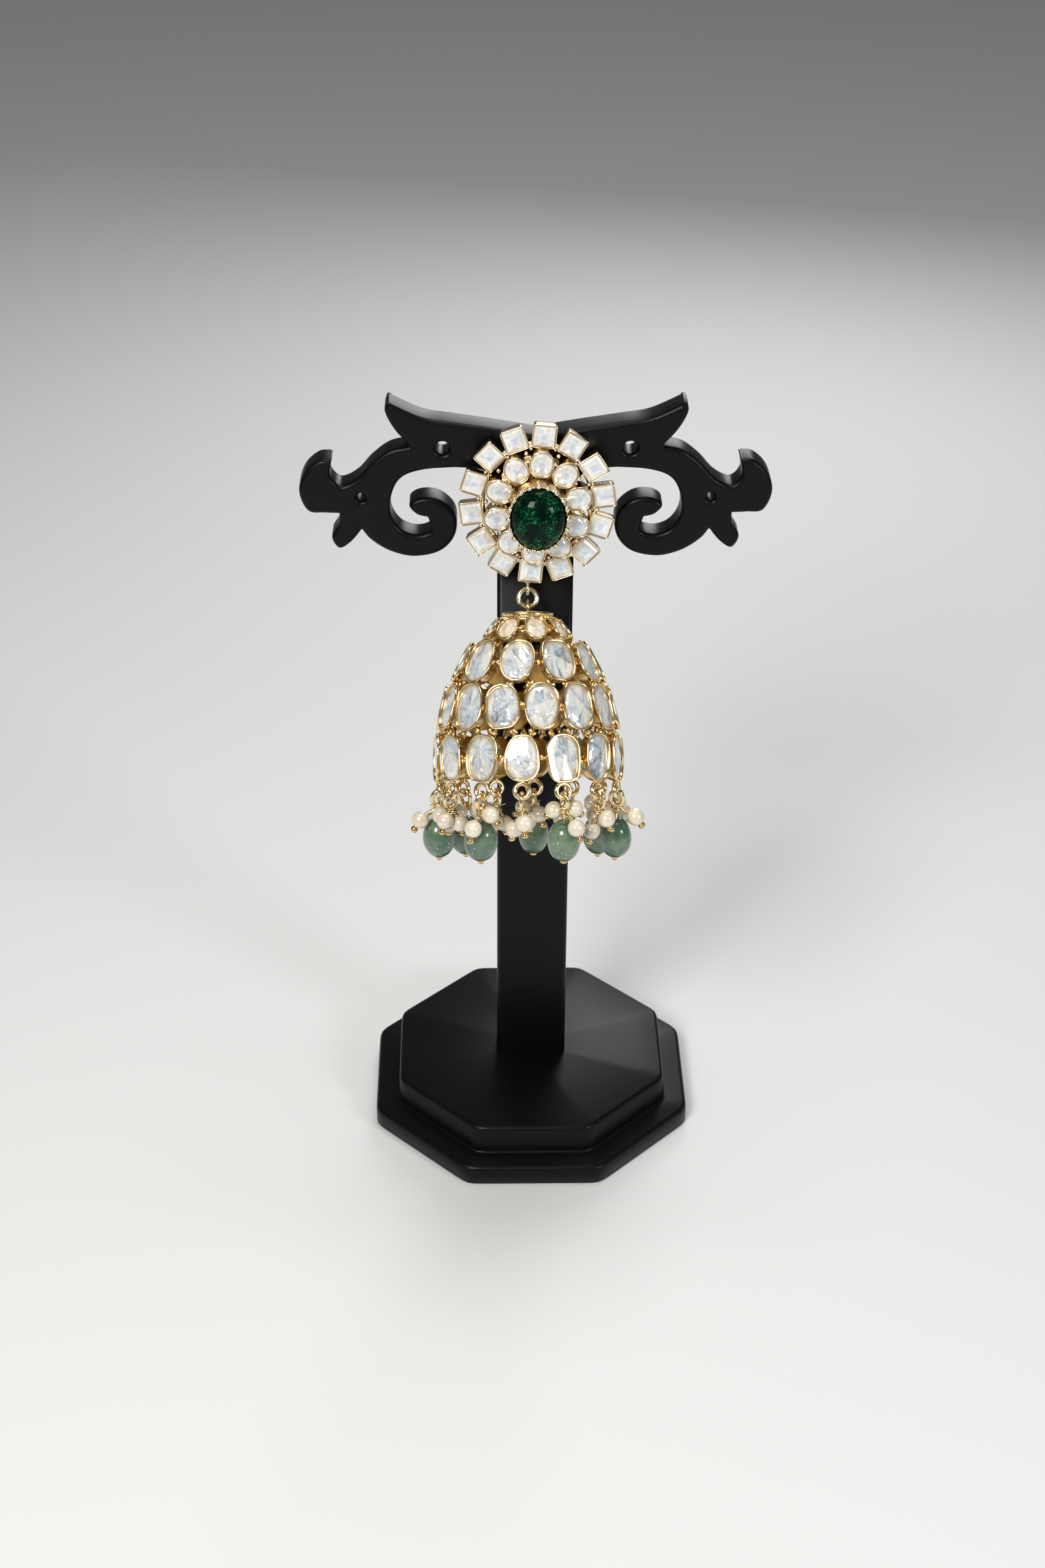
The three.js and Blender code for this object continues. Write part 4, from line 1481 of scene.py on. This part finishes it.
@dataclass
class Clusters:
    """Under each rim eye a jump ring and three pearls on pins, and under every other a green bead."""

    bell: Bell
    link_wide: float = 1.15
    link_tall: float = 1.55
    link_wire: float = 0.4
    play: float = 0.12
    pearl: float = 1.6
    pin: float = 0.2
    wrap_wire: float = 0.15
    ball_end: float = 0.66
    bead_radius: float = 3.1
    bead_half: float = 3.95
    bead_drop: float = 9.0
    alone: tuple[HungPearl, ...] = (
        HungPearl(20, 1.6, 4.3), HungPearl(140, 1.6, 5.4), HungPearl(255, 1.45, 6.7),
    )
    over_bead: tuple[HungPearl, ...] = (
        HungPearl(12, 3.5, 4.5), HungPearl(95, 2.0, 2.9), HungPearl(215, 2.2, 3.3),
    )

    def crest(self) -> float:
        """Height of the top of a jump ring's centre line over its hook."""
        return self.bell.rim_wire + self.link_wire + self.play

    def hook(self, bearing: float) -> Array:
        """Where a cluster hangs: the lowest point of its eye, turned to face outward.

        Args:
            bearing: the eye's bearing, in degrees.

        Returns:
            The matrix from the cluster's frame to the object's.
        """
        place = self.bell.matrix() @ turn("Z", bearing)
        point = put(np.array([0.0, -self.bell.rim_radius, -self.bell.rim_drop]), place)
        outward = place[:3, :3] @ np.array([0.0, -1.0, 0.0])
        down = np.array([0.0, 0.0, -1.0]) + outward[2] * outward
        point = point + self.bell.rim_mean * down / np.linalg.norm(down)
        facing = math.degrees(math.atan2(outward[0], -outward[1]))
        return shift(*point) @ turn("Z", facing)

    def gather(self) -> tuple[Pile, Pile, Pile, Pile]:
        """The wires, the ball ends, the pearls and the green beads of all the clusters."""
        metal, ends, pearls, beads = Pile(), Pile(), Pile(), Pile()
        for k, bearing in enumerate(self.bell.bearings()):
            dice = np.random.default_rng(500 + k)
            place = self.hook(bearing)
            has_bead = k % 2 == 1
            self._link(metal, place)
            knot = (self.crest() - 2 * self.link_tall) * UP
            for hung in self.over_bead if has_bead else self.alone:
                self._drop(metal, ends, pearls, place, knot, hung.centre(), dice)
            self._nest(metal, place, knot, dice)
            if has_bead:
                self._bead(metal, ends, beads, place, knot, dice)
        return metal, ends, pearls, beads

    def _link(self, metal: Pile, place: Array) -> None:
        """The oval jump ring, edge-on to the front."""
        path = edge_on(self.link_wide, self.link_tall, 28) + (self.crest() - self.link_tall) * UP
        metal.grid(put(tube(path, self.link_wire, 9, RIGHT, True), place), True)

    def _coil(
        self, start: Array, end: Array, radius: float, turns: float, dice: np.random.Generator
    ) -> Array:
        """A wire wound about a line: start + s way + radius (cos, sin), with a wavering radius."""
        way = end - start
        side = across_of(way)
        other = np.cross(way / np.linalg.norm(way), side)
        s = np.linspace(0, 1, int(10 * turns) + 1)[:, None]
        a = TAU * turns * s + dice.uniform(0, TAU)
        r = radius * (1 + 0.18 * np.sin(2.3 * a + dice.uniform(0, TAU)))
        return start + s * way + r * (np.cos(a) * side + np.sin(a) * other)

    def _drop(
        self,
        metal: Pile,
        ends: Pile,
        pearls: Pile,
        place: Array,
        knot: Array,
        centre: Array,
        dice: np.random.Generator,
    ) -> None:
        """One pearl on its pin, with the pin's wraps and ball end."""
        way = centre - knot
        way = way / np.linalg.norm(way)
        top = centre - 0.85 * self.pearl * way
        path = straight(knot, centre, 6)
        path[1:5] += dice.uniform(-0.12, 0.12, (4, 3))
        # The pin takes a little painted shade.
        metal.grid(put(tube(path, self.pin, 6, across_of(way), False), place), facts=(0, 0, 0, 0.2))
        wrap_start = top - min(1.1, 0.8 * np.linalg.norm(top - knot)) * way
        coil = self._coil(wrap_start, top, 0.34, 2.5, dice)
        # The wraps take a little painted shade.
        metal.grid(put(tube(coil, self.wrap_wire, 5, way, False), place), facts=(0, 0, 0, 0.25))
        fall = 0.6 * way - 0.4 * UP
        tip = centre + (self.pearl + 0.8 * self.ball_end) * fall / np.linalg.norm(fall)
        ends.bead(self.ball_end, tip, place, 14, 10)
        slope = np.linspace(-math.pi / 2, math.pi / 2, 15)
        radius = self.pearl * (1 + 0.025 * dice.uniform(-1, 1) * np.sin(2 * slope))
        profile = np.stack([radius * np.cos(slope), radius * np.sin(slope)], axis=1)
        profile[[0, -1]] = ((0.0, -self.pearl + 0.16), (0.0, self.pearl - 0.16))
        squash = 1 + 0.02 * np.cos(2 * angles(20) + dice.uniform(0, TAU))[None, :, None]
        shape = lathe(profile.tolist(), 20) * np.concatenate([squash, squash, np.ones_like(squash)], axis=2)
        pearls.grid(put(shape + centre, place), facts=(0, 0, dice.uniform(0, 1), 0))

    def _nest(self, metal: Pile, place: Array, knot: Array, dice: np.random.Generator) -> None:
        """The tangle at the knot: three pin loops on the jump ring and a few stray wire ends."""
        for spin in (20, 75, 140):
            spun = turn("Z", spin + dice.uniform(-15, 15)) @ turn("X", dice.uniform(-25, 25))
            loop = put(ring_path(0.55, 0.6, 18), spun)
            axis = np.cross(loop[4] - loop[0], loop[9] - loop[0])
            metal.grid(put(tube(loop + knot - 0.15 * UP, 0.18, 6, axis, True), place), True)
        for _ in range(2):
            start = knot + dice.uniform(-0.25, 0.25, 3) - 0.5 * UP
            coil = self._coil(start, start - 0.8 * UP, 0.62, 2.2, dice)
            # The stray coils take a little painted shade.
            metal.grid(put(tube(coil, self.wrap_wire, 5, UP, False), place), facts=(0, 0, 0, 0.3))
        for _ in range(3):
            heading = dice.uniform(0, TAU)
            out = np.array([math.cos(heading), math.sin(heading), dice.uniform(-0.3, 0.9)])
            start = knot - 0.6 * UP + 0.4 * out
            bend = start + 0.5 * out + dice.uniform(-0.15, 0.15, 3)
            path = np.stack([start, bend, start + dice.uniform(0.9, 1.4) * out])
            metal.grid(put(tube(path, np.array([0.12, 0.11, 0.07]), 5, across_of(out), False), place))

    def _bead(
        self, metal: Pile, ends: Pile, beads: Pile, place: Array, knot: Array, dice: np.random.Generator
    ) -> None:
        """The tumbled bead: an oval with low swells, its pin and its ball end."""
        slope = np.linspace(-math.pi / 2, math.pi / 2, 29)[:, None]
        t = angles(40)[None, :]
        waves = dice.uniform(0, TAU, 4)
        swell = 1 + 0.02 * np.cos(2 * t + waves[0]) + 0.016 * np.cos(3 * t + waves[1] + slope)
        swell = swell + 0.014 * np.sin(3 * slope + waves[2]) * np.cos(t + waves[3])
        r = self.bead_radius * 0.96 * swell * np.cos(slope) ** 0.86
        z = self.bead_half * np.sin(slope) * np.ones_like(t)
        points = np.stack([r * np.cos(t), r * np.sin(t), z], axis=-1)
        points[0] = points[-1] = 0.0
        points[0, :, 2], points[-1, :, 2] = -self.bead_half + 0.35, self.bead_half - 0.35
        beads.grid(put(points - self.bead_drop * UP, place), facts=(0, 0, dice.uniform(0, 1), 0))
        tip = -(self.bead_drop + self.bead_half + 0.55 * self.ball_end) * UP
        metal.grid(put(rod(knot, tip, self.pin, 7), place))
        ends.bead(self.ball_end, tip, place, 14, 10)

    def dress(self) -> list[Piece]:
        """The pieces of the clusters."""
        metal, ends, pearls, beads = self.gather()
        count = len(self.bell.bearings())
        clusters = tuple(f"pearl_cluster_{k:02d}" for k in range(1, count + 1))
        bead_nodes = tuple(f"green_bead_{k:02d}" for k in range(2, count + 1, 2))
        return [
            Piece("cluster_wires", metal, WARM, Body.BELL, Slot.GOLD, clusters),
            # The ball ends take the darker gold: painted shade.
            Piece("cluster_ball_ends", ends, SHADED_GOLD, Body.BELL, Slot.GOLD, clusters),
            Piece("cluster_pearls", pearls, NACRE, Body.BELL, Slot.PEARL, clusters),
            Piece("tumbled_green_beads", beads, SAGE, Body.BELL, Slot.GREEN, bead_nodes),
        ]


# ------------------------------------------------------------------ the studio


@dataclass(frozen=True)
class SoftBox:
    """One soft light: where it is, its size, and its power; it faces the earring."""

    name: str
    at: tuple[float, float, float]
    size: float
    power: float
    tint: tuple[float, float, float] = (1.0, 1.0, 1.0)

    def hang(self, target: Vector) -> None:
        """Makes the light and points it at the target."""
        data = bpy.data.lights.new(self.name, "AREA")
        data.shape, data.size, data.energy, data.color = "SQUARE", self.size, self.power, self.tint
        lamp = bpy.data.objects.new(self.name, data)
        lamp.location = self.at
        lamp.rotation_euler = (target - lamp.location).to_track_quat("-Z", "Y").to_euler()
        bpy.context.scene.collection.objects.link(lamp)


@dataclass
class Studio:
    """A pale floor, soft boxes and the camera."""

    camera_at: tuple[float, float, float] = (-0.0102, -0.3991, 0.3245)
    pitch: float = 32.03
    yaw: float = 1.17
    roll: float = 0.38
    lens: float = 55.34
    sensor: float = 36.0
    ambient: float = 0.17
    surround: Colour = shade(0.86, 0.88, 0.9)
    floor_half: float = 3.0
    boxes: tuple[SoftBox, ...] = (
        SoftBox("key_box", (-0.22, -0.42, 0.46), 0.2, 2.7, (1.0, 0.98, 0.95)),
        SoftBox("fill_box", (0.38, -0.36, 0.28), 0.13, 0.9, (0.93, 0.97, 1.0)),
        SoftBox("top_box", (0.02, 0.05, 0.6), 0.2, 1.0),
        SoftBox("back_box", (0.1, 0.45, 0.3), 0.2, 0.7),
    )

    def floor(self) -> None:
        """A large square of pale paper at the base's underside."""
        mesh = bpy.data.meshes.new("studio_floor")
        half = self.floor_half
        corners = [(-half, -half, 0), (half, -half, 0), (half, half, 0), (-half, half, 0)]
        mesh.from_pydata(corners, [], [(0, 1, 2, 3)])
        floor = bpy.data.objects.new("studio_floor", mesh)
        floor.data.materials.append(PaleFloor("pale_paper").material())
        bpy.context.scene.collection.objects.link(floor)

    def camera(self) -> None:
        """A camera from its place, pitch, yaw and roll."""
        pitch, yaw, roll = (math.radians(a) for a in (self.pitch, self.yaw, self.roll))
        flat = math.cos(pitch)
        forward = Vector((math.sin(yaw) * flat, math.cos(yaw) * flat, -math.sin(pitch)))
        right = Vector((math.cos(yaw), -math.sin(yaw), 0.0))
        up = right.cross(forward)
        side = right * math.cos(roll) + up * math.sin(roll)
        top = up * math.cos(roll) - right * math.sin(roll)
        data = bpy.data.cameras.new("studio_camera")
        data.lens, data.sensor_width = self.lens, self.sensor
        data.clip_start, data.clip_end = 0.01, 20.0
        camera = bpy.data.objects.new("studio_camera", data)
        turned = Matrix((side, top, -forward)).transposed().to_4x4()
        camera.matrix_world = Matrix.Translation(self.camera_at) @ turned
        bpy.context.scene.collection.objects.link(camera)
        bpy.context.scene.camera = camera

    def light(self) -> None:
        """An even pale surround and the soft boxes."""
        world = bpy.data.worlds.new("studio_surround")
        world.use_nodes = True
        background = world.node_tree.nodes["Background"]
        background.inputs["Color"].default_value = self.surround
        background.inputs["Strength"].default_value = self.ambient
        bpy.context.scene.world = world
        bpy.context.scene.view_settings.view_transform = "Standard"
        low, high = CAD_BOX
        target = Vector(((low.x + high.x) / 2, (low.y + high.y) / 2, 0.7 * high.z))
        for box in self.boxes:
            box.hang(target)

    def build(self) -> None:
        """Sets up the whole studio."""
        self.camera()
        self.floor()
        self.light()


def main() -> None:
    """Builds the studio and every sub-assembly, in order."""
    logging.basicConfig(level=logging.INFO, format="%(name)s %(message)s")
    Studio().build()
    bell = Bell()
    for assembly in (DisplayStand(), Stud(), HangRing(), bell, Clusters(bell)):
        for piece in assembly.dress():
            piece.settle()


if __name__ == "__main__":
    main()
